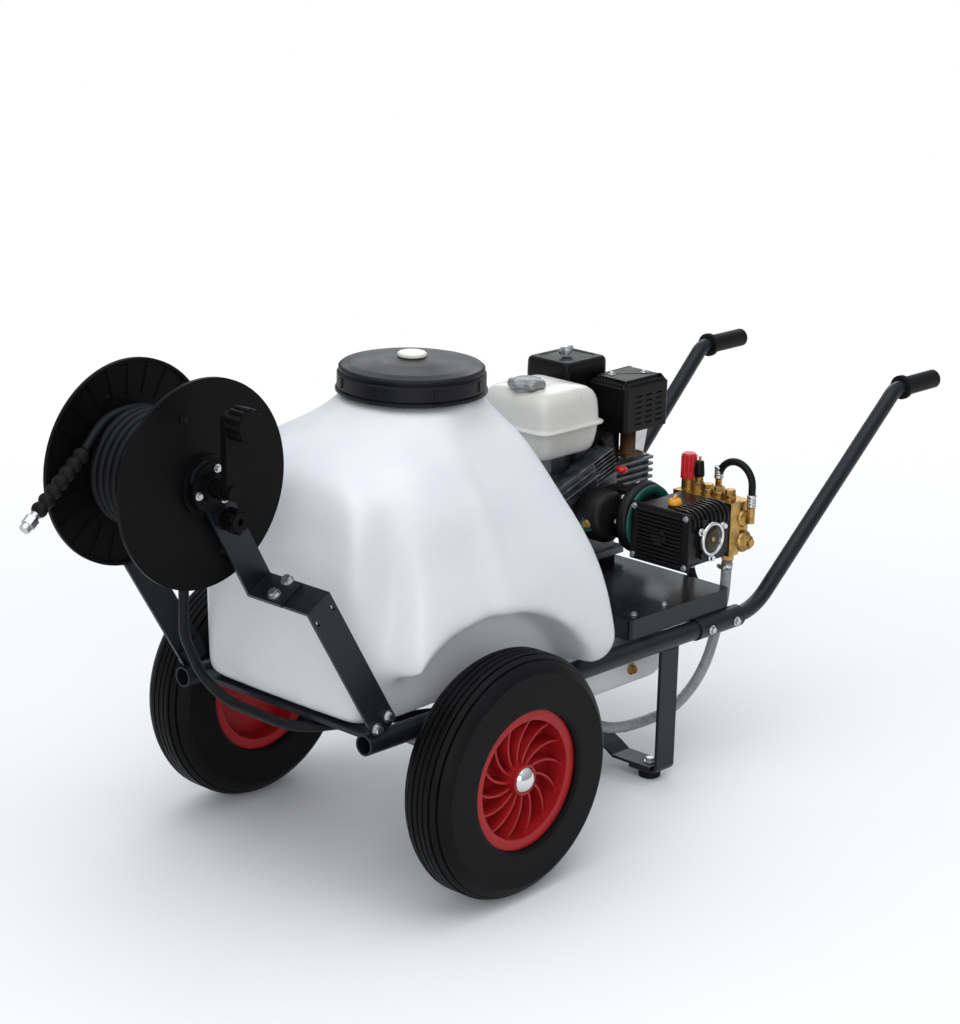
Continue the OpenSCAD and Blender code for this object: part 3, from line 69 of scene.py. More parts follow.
def wire(tree, kind, inputs=None, **settings):
    """Adds a node, sets its properties, and fills its inputs with values or with other nodes' outputs."""
    node = tree.nodes.new(kind)
    for key, value in settings.items():
        setattr(node, key, value)
    for key, value in (inputs or {}).items():
        if isinstance(value, bpy.types.NodeSocket):
            tree.links.new(value, node.inputs[key])
        else:
            node.inputs[key].default_value = value
    return node


def finish(name, tone, worn, rough, metal=0.0, cloud=14.0, grain=500.0, depth=0.12, edge=0.0012,
           spread=0.08, relief=None, relief_depth=0.0006, uv=False, **sockets):
    """A finish with cloudy colour and gloss, fine grain and softened edges; relief adds a pattern's height."""
    mat = bpy.data.materials.new(name)
    mat.use_nodes = True
    tree = mat.node_tree
    shader = tree.nodes["Principled BSDF"]
    shader.inputs["Metallic"].default_value = metal
    for key, value in sockets.items():
        shader.inputs[key.replace("_", " ")].default_value = value
    coords = wire(tree, "ShaderNodeTexCoord")
    place = coords.outputs["Object"]
    clouds = wire(tree, "ShaderNodeTexNoise",
                  {"Vector": place, "Scale": cloud, "Detail": 6.0, "Roughness": 0.62}).outputs["Fac"]
    share = wire(tree, "ShaderNodeMapRange", {"Value": clouds, "From Min": 0.36, "From Max": 0.68}).outputs["Result"]
    colour = wire(tree, "ShaderNodeMix", {0: share, 6: (*tone, 1), 7: (*worn, 1)}, data_type="RGBA").outputs[2]
    tree.links.new(colour, shader.inputs["Base Color"])
    gloss = wire(tree, "ShaderNodeMapRange", {"Value": clouds, "From Min": 0.3, "From Max": 0.7,
                                              "To Min": rough - spread, "To Max": rough + spread})
    tree.links.new(gloss.outputs["Result"], shader.inputs["Roughness"])
    normal = wire(tree, "ShaderNodeBevel", {"Radius": edge}, samples=4).outputs["Normal"]
    fine = wire(tree, "ShaderNodeTexNoise", {"Vector": place, "Scale": grain, "Detail": 2.0}).outputs["Fac"]
    normal = wire(tree, "ShaderNodeBump", {"Strength": depth, "Distance": 0.0005, "Height": fine,
                                           "Normal": normal}).outputs["Normal"]
    if relief:
        height = relief(tree, coords.outputs["UV"] if uv else place)
        normal = wire(tree, "ShaderNodeBump", {"Strength": 1.0, "Distance": relief_depth, "Height": height,
                                               "Normal": normal}).outputs["Normal"]
    tree.links.new(normal, shader.inputs["Normal"])
    return mat


def spiral_ribs(tree, place):
    """The wire spiral that shows through a clear hose, along its own length."""
    return wire(tree, "ShaderNodeTexWave", {"Vector": place, "Scale": 22.0, "Distortion": 0.0},
                wave_type="BANDS", bands_direction="Y").outputs["Fac"]


def cloth_wrap(tree, place):
    """The cloth mark left on a rubber hose's cover."""
    return wire(tree, "ShaderNodeTexWave", {"Vector": place, "Scale": 160.0, "Distortion": 0.4},
                wave_type="BANDS", bands_direction="DIAGONAL").outputs["Fac"]


powder_coat = finish("powder_coat", (0.0060, 0.0070, 0.0115), (0.0105, 0.0120, 0.0190), 0.36, grain=900, depth=0.25,
                     Specular_IOR_Level=0.28)
bare_axle = finish("axle_steel", (0.16, 0.16, 0.17), (0.24, 0.24, 0.25), 0.42, metal=1.0, cloud=40)
zinc = finish("zinc_plate", (0.46, 0.47, 0.49), (0.66, 0.67, 0.69), 0.32, metal=1.0, cloud=70, edge=0.0008)
cap_grey = finish("fuel_cap_grey", (0.20, 0.20, 0.205), (0.32, 0.32, 0.33), 0.42, metal=0.6, cloud=60, edge=0.001)
chrome = finish("hub_chrome", (0.60, 0.60, 0.61), (0.74, 0.74, 0.75), 0.16, metal=1.0, depth=0.05, spread=0.06)
tyre_rubber = finish("tyre_rubber", (0.0028, 0.0028, 0.0032), (0.0052, 0.0052, 0.0058), 0.50, cloud=20, depth=0.3,
                     Specular_IOR_Level=0.10)
foot_rubber = finish("foot_rubber", (0.0034, 0.0034, 0.0038), (0.0065, 0.0065, 0.0070), 0.58, depth=0.3,
                     Specular_IOR_Level=0.16)
rim_red = finish("rim_red", (0.34, 0.010, 0.013), (0.44, 0.017, 0.020), 0.36, cloud=26, grain=350, depth=0.10,
                 edge=0.0018, Specular_IOR_Level=0.25)
reel_plastic = finish("reel_plastic", (0.0022, 0.0022, 0.0026), (0.0040, 0.0040, 0.0046), 0.48, grain=1100, depth=0.30,
                      Specular_IOR_Level=0.08)
lid_plastic = finish("lid_plastic", (0.0036, 0.0038, 0.0048), (0.0064, 0.0068, 0.0084), 0.42, grain=900, depth=0.35,
                     edge=0.002, Specular_IOR_Level=0.18)
vent_plastic = finish("vent_plastic", (0.74, 0.73, 0.66), (0.82, 0.81, 0.76), 0.40, edge=0.0015)
tank_plastic = finish("tank_plastic", (0.78, 0.81, 0.86), (0.84, 0.865, 0.90), 0.36, cloud=5.0, grain=210,
                      depth=0.10, edge=0.003, Subsurface_Weight=0.35, Subsurface_Radius=(1.0, 1.05, 1.15),
                      Subsurface_Scale=0.02)
fuel_plastic = finish("fuel_white", (0.60, 0.585, 0.545), (0.66, 0.65, 0.615), 0.30, cloud=9, grain=260, depth=0.05,
                      edge=0.003, Coat_Weight=0.15, Coat_Roughness=0.14)
brass = finish("cast_brass", (0.30, 0.18, 0.048), (0.62, 0.41, 0.15), 0.34, metal=1.0, cloud=60, grain=800,
               depth=0.25, spread=0.12)
# The cast and fin alloys are given tones far darker than bare aluminium: partly painted shade, standing in for the
# shade the engine sits in
cast_alloy = finish("cast_alloy", (0.060, 0.062, 0.067), (0.18, 0.184, 0.195), 0.44, metal=0.85, cloud=34, grain=650,
                    depth=0.40, spread=0.12)
fin_alloy = finish("fin_alloy", (0.075, 0.077, 0.082), (0.24, 0.244, 0.255), 0.38, metal=0.9, cloud=48, grain=650,
                   depth=0.3, spread=0.12)
deck_paint = finish("deck_paint", (0.0040, 0.0046, 0.0072), (0.0072, 0.0084, 0.0125), 0.22, cloud=9, grain=700,
                    depth=0.10, spread=0.07, Specular_IOR_Level=0.30)
pump_black = finish("pump_black", (0.0045, 0.0042, 0.0044), (0.0090, 0.0084, 0.0086), 0.36, cloud=30, grain=750,
                    depth=0.40, Specular_IOR_Level=0.22)
satin_black = finish("guard_black", (0.0024, 0.0024, 0.0028), (0.0046, 0.0046, 0.0052), 0.38, cloud=24, grain=800,
                     depth=0.2, Specular_IOR_Level=0.16)
knob_red = finish("knob_red", (0.56, 0.012, 0.018), (0.66, 0.022, 0.028), 0.30, cloud=40, edge=0.0015)
cap_amber = finish("oil_cap_amber", (0.72, 0.30, 0.012), (0.80, 0.38, 0.03), 0.34, cloud=60)
seal_green = finish("seal_green", (0.005, 0.062, 0.048), (0.010, 0.105, 0.080), 0.40, cloud=60)
sight_glass = finish("sight_glass", (0.012, 0.009, 0.004), (0.040, 0.030, 0.012), 0.14, cloud=50, depth=0.02,
                     Specular_IOR_Level=0.25)
rust_brown = finish("exhaust_brown", (0.075, 0.038, 0.020), (0.14, 0.072, 0.035), 0.60, metal=0.6, cloud=60)
hose_rubber = finish("hose_rubber", (0.0036, 0.0039, 0.0048), (0.0068, 0.0074, 0.0090), 0.50, cloud=30, depth=0.2,
                     relief=cloth_wrap, relief_depth=0.00012, uv=True, Specular_IOR_Level=0.18)
clear_hose = finish("clear_hose", (0.30, 0.31, 0.325), (0.42, 0.43, 0.45), 0.28, cloud=24, grain=300, depth=0.05,
                    relief=spiral_ribs, relief_depth=0.0006, uv=True, Transmission_Weight=0.25)

# CAD nodes that are shown as they are; the other nodes have a piece in their place further on
FINISHES = {
    powder_coat: ["left_rail", "right_rail", "cross_bars", "weld_plates", "left_leg", "right_leg", "leg_brace",
                  "left_handle", "right_handle", "left_bracket", "right_bracket", "left_arm", "right_arm"],
    deck_paint: ["engine_deck"],
    bare_axle: ["axle"],
    zinc: ["swivel_inlet", "hose_ferrule", "bolts", "wing_nut", "throttle_lever"],
    chrome: ["hub_caps"],
    tyre_rubber: ["left_tyre", "right_tyre"],
    foot_rubber: ["rubber_feet", "left_grip", "right_grip", "engine_mounts"],
    rim_red: ["left_rim", "right_rim"],
    reel_plastic: ["bearing_plates", "reel_drum", "left_flange", "right_flange", "crank_arm", "crank_knob",
                   "lock_knob", "recoil_grip"],
    lid_plastic: ["neck_ring", "tank_lid"],
    vent_plastic: ["lid_vent"],
    brass: ["sump_fittings", "pump_head"],
    cast_alloy: ["engine_block"],
    pump_black: ["pump_body"],
    satin_black: ["fan_cover"],
    knob_red: ["unloader_knob"],
    hose_rubber: ["hose_core"],
}
for mat, names in FINISHES.items():
    for name in names:
        nodes[name].data.materials.clear()
        nodes[name].data.materials.append(mat)


def put(name, data):
    """Puts a mesh, lamp or lens in the scene as an object at the origin."""
    obj = bpy.data.objects.new(name, data)
    bpy.context.scene.collection.objects.link(obj)
    return obj


def piece(name, mesh, mat, body, slot, *stands_for):
    """Shows a finished mesh as a piece of the cart that moves with a body, in place of any nodes it stands for."""
    obj = put(name, mesh)
    mesh.materials.clear()
    mesh.materials.append(mat)
    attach(obj, body)
    if stands_for:
        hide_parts(*stands_for)
    return obj


# The tank's skin: the moulding's outer surface, evened out as rotomoulded plastic is, with a wall inside it

def off_chassis(p):
    """A point of the cart's frame in metres as a chassis point in millimetres."""
    v = p * 1000 - Vector((-MID_X, 0, AXLE_Z))
    return Vector((v.x * math.cos(LEAN) - v.z * math.sin(LEAN), v.y,
                   v.x * math.sin(LEAN) + v.z * math.cos(LEAN) + AXLE_Z))


def shown_mesh(obj):
    """The mesh of an object with its modifiers, which are then taken off it."""
    made = bpy.data.meshes.new_from_object(obj.evaluated_get(bpy.context.evaluated_depsgraph_get()))
    obj.modifiers.clear()
    return made


# The filler neck in chassis millimetres: its axis, its top, the mouth's radius, and the lip left inside the ring
NECK_X, NECK_Z, MOUTH_R = 78.7, 748, 112
LIP_DROP, LIP_WIDTH = 24, 22


def outer_surface(name):
    """The outside of the hollow moulding, from its lowest point up to the edge of the filler mouth, closed there."""
    skin = bmesh.new()
    skin.from_mesh(nodes[name].data)
    bmesh.ops.remove_doubles(skin, verts=skin.verts, dist=1e-5)
    edge = {v for v in skin.verts if abs((q := off_chassis(v.co)).z - NECK_Z) < 1
            and math.hypot(q.x - NECK_X, q.y) < MOUTH_R}
    todo = list(min(skin.verts, key=lambda v: v.co.z).link_faces)
    outside = set(todo)
    while todo:
        for e in todo.pop().edges:
            if not (e.verts[0] in edge and e.verts[1] in edge):
                fresh = [f for f in e.link_faces if f not in outside]
                outside.update(fresh)
                todo += fresh
    bmesh.ops.delete(skin, geom=[f for f in skin.faces if f not in outside], context="FACES")
    bmesh.ops.holes_fill(skin, edges=[e for e in skin.edges if e.is_boundary], sides=0)
    bmesh.ops.recalc_face_normals(skin, faces=skin.faces)
    mesh = bpy.data.meshes.new(name + "_outside")
    skin.to_mesh(mesh)
    skin.free()
    return mesh


def moulded_skin(name, grid, passes, wall):
    """The outside on an even grid, relaxed until its edges roll over, then opened at the mouth and given its wall."""
    obj = put(name + "_form", outer_surface(name))
    even = obj.modifiers.new("even", "REMESH")
    even.mode, even.voxel_size = "VOXEL", grid
    mesh = shown_mesh(obj)
    count = len(mesh.vertices)
    places = np.empty(count * 3)
    mesh.vertices.foreach_get("co", places)
    places = places.reshape(-1, 3)
    ends = np.empty(len(mesh.edges) * 2, dtype=np.int32)
    mesh.edges.foreach_get("vertices", ends)
    ends = ends.reshape(-1, 2)
    near = np.bincount(ends.ravel(), minlength=count)[:, None]
    for _ in range(passes):
        total = np.zeros_like(places)
        np.add.at(total, ends[:, 0], places[ends[:, 1]])
        np.add.at(total, ends[:, 1], places[ends[:, 0]])
        places += 0.5 * (total / near - places)
    mesh.vertices.foreach_set("co", places.ravel())
    skin = bmesh.new()
    skin.from_mesh(mesh)
    mouth = [v for v in skin.verts if (q := off_chassis(v.co)).z > NECK_Z - LIP_DROP
             and math.hypot(q.x - NECK_X, q.y) < MOUTH_R - LIP_WIDTH]
    bmesh.ops.delete(skin, geom=mouth, context="VERTS")
    skin.to_mesh(mesh)
    skin.free()
    obj.data = mesh
    shell = obj.modifiers.new("wall", "SOLIDIFY")
    shell.thickness, shell.offset = wall, -1
    mesh = shown_mesh(obj)
    bpy.data.objects.remove(obj)
    mesh.polygons.foreach_set("use_smooth", [True] * len(mesh.polygons))
    return mesh


piece("tank_skin", moulded_skin("spray_tank", grid=0.007, passes=26, wall=0.005), tank_plastic, "chassis", "tank_white",
      "spray_tank")


# Hoses: each is one smooth line through its route, in chassis millimetres

REEL_HOSE_D, FEED_HOSE_D, SUCTION_HOSE_D, BYPASS_HOSE_D = 14.5, 17, 19, 13
FEED_BEND, BYPASS_BEND, BEND_STEPS = 68, 36.99, 8
FEED_CORNERS = [
    (-438, 131, 672), (-438, 131, 626), (-290, 131, 562), (-290, 131, 388), (-230, 140, 272), (-230, -62, 268),
    (60, -176, 260), (560, -176, 265), (692, -150, 262), (690, -100, 338), (690, -99, 377)]
SUCTION_ROUTE = [
    (690, -183, 377), (690, -182, 360), (690, -181, 330), (690, -178, 300), (690, -170, 264), (687, -164, 228),
    (675, -161, 192), (655, -160, 164), (628, -160, 142), (598, -160, 127), (566, -160, 119), (530, -160, 117),
    (490, -159, 117), (452, -156, 119), (424, -150, 124), (402, -143, 132), (387, -138.5, 142), (379, -136, 154.5)]
BYPASS_CORNERS = [(711, -139, 511.5), (711, -139, 548.5), (711, -213, 548.5), (711, -213, 475)]
TAIL_ROUTE = [
    (-468, 69.8, 792), (-484, 69, 788.5), (-500, 67, 782), (-517, 62, 773), (-533, 57, 761), (-545, 54, 751)]

# The outer layer on the reel: the reel's axis, the layer's radius, pitch, right-hand end, turns and points
REEL_X, REEL_Z, WIND_R, WIND_PITCH, WIND_END, WIND_TURNS = -438, 708.5, 85, 15.3, 70, 219 / 24
WIND_POINTS = 438
TAIL_START = (-453, 70, 793.3)


def wound_route():
    """The outer layer on the reel from the left flange to the right, then the free end over the top."""
    route = []
    for i in range(WIND_POINTS + 1):
        a = 2 * math.pi * WIND_TURNS * (i / WIND_POINTS - 1)
        y = WIND_END + WIND_PITCH * WIND_TURNS * (i / WIND_POINTS - 1)
        route.append((REEL_X - WIND_R * math.sin(a), y, REEL_Z + WIND_R * math.cos(a)))
    return route + [TAIL_START] + TAIL_ROUTE


def eased(corners, radius, count):
    """A route's corners rounded to the hose's own bend."""
    pts = [Vector(p) for p in corners]
    line = [pts[0]]
    for a, b, c in zip(pts, pts[1:], pts[2:]):
        u, v = (a - b).normalized(), (c - b).normalized()
        half = u.angle(v) / 2
        middle = b + (u + v).normalized() * radius / math.sin(half)
        out = (b + u * radius / math.tan(half) - middle).normalized()
        for i in range(count + 1):
            t = (math.pi - 2 * half) * i / count
            line.append(middle + radius * (math.cos(t) * out - math.sin(t) * u))
    return line + [pts[-1]]


def smooth_line(points, step):
    """Points of an even spacing on a Catmull-Rom line through the route."""
    pts = [Vector(p) for p in points]
    pts = [2 * pts[0] - pts[1], *pts, 2 * pts[-1] - pts[-2]]
    line = []
    for a, b, c, d in zip(pts, pts[1:], pts[2:], pts[3:]):
        count = max(1, round((c - b).length / step))
        for i in range(count):
            t = i / count
            line.append(b + 0.5 * t * (c - a + t * (2 * a - 5 * b + 4 * c - d + t * (3 * (b - c) + d - a))))
    return line + [pts[-2]]


def tube_mesh(name, line, radius, sides=20):
    """A closed round tube along a line, with a UV map that runs round it and along its length."""
    verts, faces, uvs = [], [], []
    along = [0.0]
    for a, b in zip(line, line[1:]):
        along.append(along[-1] + (b - a).length)
    normal = None
    for i, p in enumerate(line):
        tangent = (line[min(i + 1, len(line) - 1)] - line[max(i - 1, 0)]).normalized()
        normal = tangent.orthogonal() if normal is None else normal - tangent * normal.dot(tangent)
        normal.normalize()
        across = tangent.cross(normal)
        for j in range(sides):
            a = 2 * math.pi * j / sides
            verts.append(p + radius * (math.cos(a) * normal + math.sin(a) * across))
    for i in range(len(line) - 1):
        for j in range(sides):
            k = (j + 1) % sides
            faces.append((i * sides + j, i * sides + k, (i + 1) * sides + k, (i + 1) * sides + j))
            girth = 2 * math.pi * radius / sides
            uvs += [(j * girth, along[i]), ((j + 1) * girth, along[i]),
                    ((j + 1) * girth, along[i + 1]), (j * girth, along[i + 1])]
    last = (len(line) - 1) * sides
    faces += [tuple(range(sides - 1, -1, -1)), tuple(range(last, last + sides))]
    uvs += [(0, 0)] * (2 * sides)
    mesh = bpy.data.meshes.new(name)
    mesh.from_pydata(verts, [], faces)
    layer = mesh.uv_layers.new(name="along")
    layer.data.foreach_set("uv", [x for uv in uvs for x in uv])
    mesh.polygons.foreach_set("use_smooth", [len(f) == 4 for f in faces])
    return mesh, along[-1]


def hose(name, route, width, mat, body, slot, stands_for, step=7):
    line = [at(*p) for p in smooth_line(route, step)]
    mesh, length = tube_mesh(name, line, width / 2000)
    obj = piece(name, mesh, mat, body, slot, *stands_for)
    return obj


def lathe(name, outline, place, sides=48, smooth=True):
    """A mesh turned from (radius, height) pairs in millimetres about Z, set in place by a matrix."""
    shape = bmesh.new()
    rings = []
    for r, h in outline:
        if r < 1e-6:
            rings.append([shape.verts.new((0, 0, h / 1000))])
            continue
        rings.append([shape.verts.new((r / 1000 * math.cos(2 * math.pi * j / sides),
                                       r / 1000 * math.sin(2 * math.pi * j / sides), h / 1000))
                      for j in range(sides)])
    for low, high in zip(rings, rings[1:]):
        for j in range(sides):
            k = (j + 1) % sides
            corners = [low[j % len(low)], low[k % len(low)], high[k % len(high)], high[j % len(high)]]
            unique = list(dict.fromkeys(corners))
            if len(unique) > 2:
                shape.faces.new(unique)
    bmesh.ops.recalc_face_normals(shape, faces=shape.faces)
    for face in shape.faces:
        face.smooth = smooth
    mesh = bpy.data.meshes.new(name)
    shape.to_mesh(mesh)
    shape.free()
    mesh.transform(place)
    return mesh


# The bead sleeve at the free end of the reel hose: where it starts, which way it points, and its beads' sizes
BEAD_FROM = Vector((-546, 53.5, 750.2))
BEAD_WAY = Vector((-85, -11.5, -61.7)).normalized()
BEADS, BEAD_PITCH, BEAD_WAIST, BEAD_RISE, BEAD_ROUND, BEAD_STEPS = 7, 17.8, 7.6, 4.9, 0.7, 12


def bead_sleeve():
    """A row of full round beads with narrow waists between them."""
    outline = [(0, 0), (BEAD_WAIST, 0)]
    for i in range(BEADS):
        for j in range(1, BEAD_STEPS):
            s = j / BEAD_STEPS
            outline.append((BEAD_WAIST + BEAD_RISE * math.sin(math.pi * s) ** BEAD_ROUND, BEAD_PITCH * (i + s)))
        outline.append((BEAD_WAIST, BEAD_PITCH * (i + 1)))
    return lathe("bead_sleeve", outline + [(0, BEAD_PITCH * BEADS)], chassis(BEAD_FROM, BEAD_WAY))


sleeve = piece("bead_sleeve", bead_sleeve(), foot_rubber, "reel", "hose_rubber", "bend_restrictor")
hose("reel_hose_line", wound_route(), REEL_HOSE_D, hose_rubber, "reel", "hose_rubber",
     ["reel_hose", "hose_tail"])
hose("feed_hose_line", eased(FEED_CORNERS, FEED_BEND, BEND_STEPS), FEED_HOSE_D, hose_rubber, "chassis", "hose_rubber",
     ["feed_hose"])
hose("suction_hose_line", SUCTION_ROUTE, SUCTION_HOSE_D, clear_hose, "chassis", "clear_hose",
     ["suction_hose"])
hose("bypass_hose_line", eased(BYPASS_CORNERS, BYPASS_BEND, BEND_STEPS), BYPASS_HOSE_D, hose_rubber, "chassis",
     "hose_rubber", ["bypass_hose"])


# Node trees that repeat a form: the object's own mesh is the form, and the tree lays out its copies

def open_tree(name, **sizes):
    """A geometry tree with a form, named sizes and a finish as its inputs."""
    tree = bpy.data.node_groups.new(name, "GeometryNodeTree")
    tree.interface.new_socket("Form", in_out="INPUT", socket_type="NodeSocketGeometry")
    for key, value in sizes.items():
        kind = {int: "NodeSocketInt", float: "NodeSocketFloat", tuple: "NodeSocketVector"}[type(value)]
        tree.interface.new_socket(key, in_out="INPUT", socket_type=kind).default_value = value
    tree.interface.new_socket("Finish", in_out="INPUT", socket_type="NodeSocketMaterial")
    tree.interface.new_socket("Made", in_out="OUTPUT", socket_type="NodeSocketGeometry")
    return tree, wire(tree, "NodeGroupInput").outputs


def close_tree(tree, given, made):
    """Ends a tree: its copies made real and given the finish."""
    real = wire(tree, "GeometryNodeRealizeInstances", {0: made}).outputs[0]
    shown = wire(tree, "GeometryNodeSetMaterial", {"Geometry": real, "Material": given["Finish"]}).outputs[0]
    wire(tree, "NodeGroupOutput", {0: shown})
    return tree


def row_tree():
    """Copies in a straight row."""
    tree, given = open_tree("row_of_forms", Count=3, Step=(0.0, 0.0, 0.01))
    line = wire(tree, "GeometryNodeMeshLine", {"Count": given["Count"], "Offset": given["Step"]}).outputs[0]
    return close_tree(tree, given, wire(tree, "GeometryNodeInstanceOnPoints",
                                        {"Points": line, "Instance": given["Form"]}).outputs[0])


def ring_tree():
    """Copies round the Z axis, each with its own X axis outwards."""
    tree, given = open_tree("ring_of_forms", Count=6, Radius=0.02)
    ring = wire(tree, "GeometryNodeMeshCircle", {"Vertices": given["Count"], "Radius": given["Radius"]}).outputs[0]
    spot = wire(tree, "GeometryNodeInputPosition").outputs[0]
    facing = wire(tree, "FunctionNodeAlignRotationToVector", {"Vector": spot}, axis="X").outputs[0]
    return close_tree(tree, given, wire(tree, "GeometryNodeInstanceOnPoints",
                                        {"Points": ring, "Instance": given["Form"], "Rotation": facing}).outputs[0])


def grid_tree():
    """Copies in columns along X and rows along Y, centred."""
    tree, given = open_tree("grid_of_forms", Columns=3, Rows=5, Wide=0.06, High=0.05)
    grid = wire(tree, "GeometryNodeMeshGrid", {"Vertices X": given["Columns"], "Vertices Y": given["Rows"],
                                               "Size X": given["Wide"], "Size Y": given["High"]}).outputs[0]
    return close_tree(tree, given, wire(tree, "GeometryNodeInstanceOnPoints",
                                        {"Points": grid, "Instance": given["Form"]}).outputs[0])


def bead_tree():
    """A weld bead: overlapping scales along the edges of a path, of slightly uneven size."""
    tree, given = open_tree("weld_bead", Width=0.005, Pitch=0.0022)
    path = wire(tree, "GeometryNodeMeshToCurve", {"Mesh": given["Form"]}).outputs[0]
    points = wire(tree, "GeometryNodeResampleCurve", {"Curve": path, "Length": given["Pitch"]},
                  mode="LENGTH").outputs[0]
    scale = wire(tree, "GeometryNodeMeshIcoSphere", {"Radius": given["Width"], "Subdivisions": 2}).outputs[0]
    size = wire(tree, "FunctionNodeRandomValue", {2: 0.82, 3: 1.0, "Seed": 7}, data_type="FLOAT").outputs[1]
    tangent = wire(tree, "GeometryNodeInputTangent").outputs[0]
    facing = wire(tree, "FunctionNodeAlignRotationToVector", {"Vector": tangent}, axis="Z").outputs[0]
    flat = wire(tree, "ShaderNodeCombineXYZ", {0: size, 1: size, 2: 0.45}).outputs[0]
    return close_tree(tree, given, wire(tree, "GeometryNodeInstanceOnPoints", {
        "Points": points, "Instance": scale, "Rotation": facing, "Scale": flat}).outputs[0])


def grown(form, tree, place=None, **sizes):
    """The plain mesh that a tree makes from a form, set in place by a matrix."""
    obj = put("growing", form)
    grow = obj.modifiers.new("grow", "NODES")
    grow.node_group = tree
    for item in tree.interface.items_tree:
        if item.in_out == "INPUT" and item.name in sizes:
            grow[item.identifier] = sizes[item.name]
    mesh = shown_mesh(obj)
    bpy.data.objects.remove(obj)
    if place:
        mesh.transform(place)
    return mesh


ROW, RING, GRID, BEAD = row_tree(), ring_tree(), grid_tree(), bead_tree()


def joined(name, *meshes):
    """One mesh from several."""
    shape = bmesh.new()
    for mesh in meshes:
        shape.from_mesh(mesh)
    made = bpy.data.meshes.new(name)
    shape.to_mesh(made)
    shape.free()
    return made


def bar(x, y, z, soft=0.0, place=None, steps=2):
    """A box of x, y and z millimetres about the origin with softened edges."""
    shape = bmesh.new()
    bmesh.ops.create_cube(shape, size=1, matrix=Matrix.Diagonal((x / 1000, y / 1000, z / 1000, 1)))
    if soft:
        bmesh.ops.bevel(shape, geom=shape.edges[:], offset=soft / 1000, segments=steps, profile=0.5, affect="EDGES")
    mesh = bpy.data.meshes.new("bar")
    shape.to_mesh(mesh)
    shape.free()
    if place:
        mesh.transform(place)
    return mesh


def soft_box(name, x0, x1, y0, y1, outline, power=6.0, sides=72):
    """A closed rounded box on the chassis: squared ovals, each drawn in by an inset at a height."""
    shape = bmesh.new()
    rings = []
    for inset, z in outline:
        ring = []
        for j in range(sides):
            c, n = math.cos(2 * math.pi * j / sides), math.sin(2 * math.pi * j / sides)
            k = (abs(c) ** power + abs(n) ** power) ** (-1 / power)
            ring.append(shape.verts.new(at((x0 + x1) / 2 + ((x1 - x0) / 2 - inset) * c * k,
                                           (y0 + y1) / 2 + ((y1 - y0) / 2 - inset) * n * k, z)))
        rings.append(ring)
    for low, high in zip(rings, rings[1:]):
        for j in range(sides):
            shape.faces.new((low[j], low[j - 1], high[j - 1], high[j]))
    shape.faces.new(rings[0])
    shape.faces.new(rings[-1][::-1])
    bmesh.ops.recalc_face_normals(shape, faces=shape.faces)
    for face in shape.faces:
        face.smooth = True
    mesh = bpy.data.meshes.new(name)
    shape.to_mesh(mesh)
    shape.free()
    return mesh


def hex_screw(head=10.0, high=6.0, washer=8.5):
    """A flanged screw head that stands on its own origin along Z."""
    corner = head * 0.577
    flange = lathe("washer", [(0, 0), (washer, 0), (washer, 1.2), (washer - 0.8, 1.8), (0, 1.8)], Matrix(), 24)
    return joined("screw", flange, lathe("head", [
        (0, 1.6), (corner, 1.6), (corner, high - 0.8), (head * 0.5, high), (0, high)], Matrix(), 6, False))


# The engine's shells

FUEL_CAP_AT = (466, 100, 671)
CAP_GRIP_FROM = 0.024

piece("fuel_shell", soft_box("fuel_shell", 422, 592, 16, 190, [
    (40, 552), (26, 552.6), (19, 555.5), (15, 561), (12, 572), (9.5, 588), (8.5, 600), (8.2, 601.8), (3, 602.4),
    (0.8, 603.6), (0.3, 605.4), (0.8, 607.2), (3, 608.4), (7.2, 609.2), (7.6, 611), (8.4, 628), (10, 644), (13, 654),
    (17.5, 661.5), (24, 666.6), (34, 669.8), (50, 671.2), (66, 671.5)], 8.5), fuel_plastic, "chassis", "fuel_white",
    "fuel_tank")


def lobed_cap(place, lobes=6, hollow=0.085):
    """The fuel cap: a low turned disc whose rim is drawn in between its finger lobes."""
    mesh = lathe("fuel_cap_grip", [
        (0, 11), (21, 11), (21, 0.8), (31.5, 0.8), (33.4, 2.4), (34, 6), (33.4, 10.5), (31, 13.6), (26, 15.2),
        (21, 15.8), (19, 17), (0, 17.4)], Matrix(), 96)
    for vert in mesh.vertices:
        if math.hypot(vert.co.x, vert.co.y) > CAP_GRIP_FROM:
            drawn = 1 - hollow * (1 - math.cos(lobes * math.atan2(vert.co.y, vert.co.x)))
            vert.co.x, vert.co.y = vert.co.x * drawn, vert.co.y * drawn
    mesh.transform(place)
    return mesh


piece("fuel_cap_grip", lobed_cap(chassis(FUEL_CAP_AT)), cap_grey, "fuel_lid", "bare_steel", "fuel_cap")
piece("filler_neck", lathe("filler_neck", [
    (0, -4), (20, -4), (20, 9), (19, 10), (17, 10), (16.4, 9), (16.4, -2), (0, -2)], chassis(FUEL_CAP_AT)),
    fuel_plastic, "chassis", "fuel_white")
piece("cleaner_shell", soft_box("cleaner_shell", 590, 700, 116, 214, [
    (8, 600.8), (3, 601.6), (1.2, 604), (0.8, 620), (0.6, 634), (2.4, 634.6), (2.4, 637), (0.2, 637.6), (0, 660),
    (0.3, 680), (1.5, 685), (4, 688), (7.5, 689.2), (13, 689.4), (15, 687.6), (18, 687), (30, 687)], 16.0, 96),
    satin_black, "chassis", "engine_black", "air_cleaner")


GUARD_AT = (698, 66, 618)
GUARD_SIZE = (118, 94, 92)
GUARD_ROUND, GUARD_CHAMFER = 0.007, 0.013


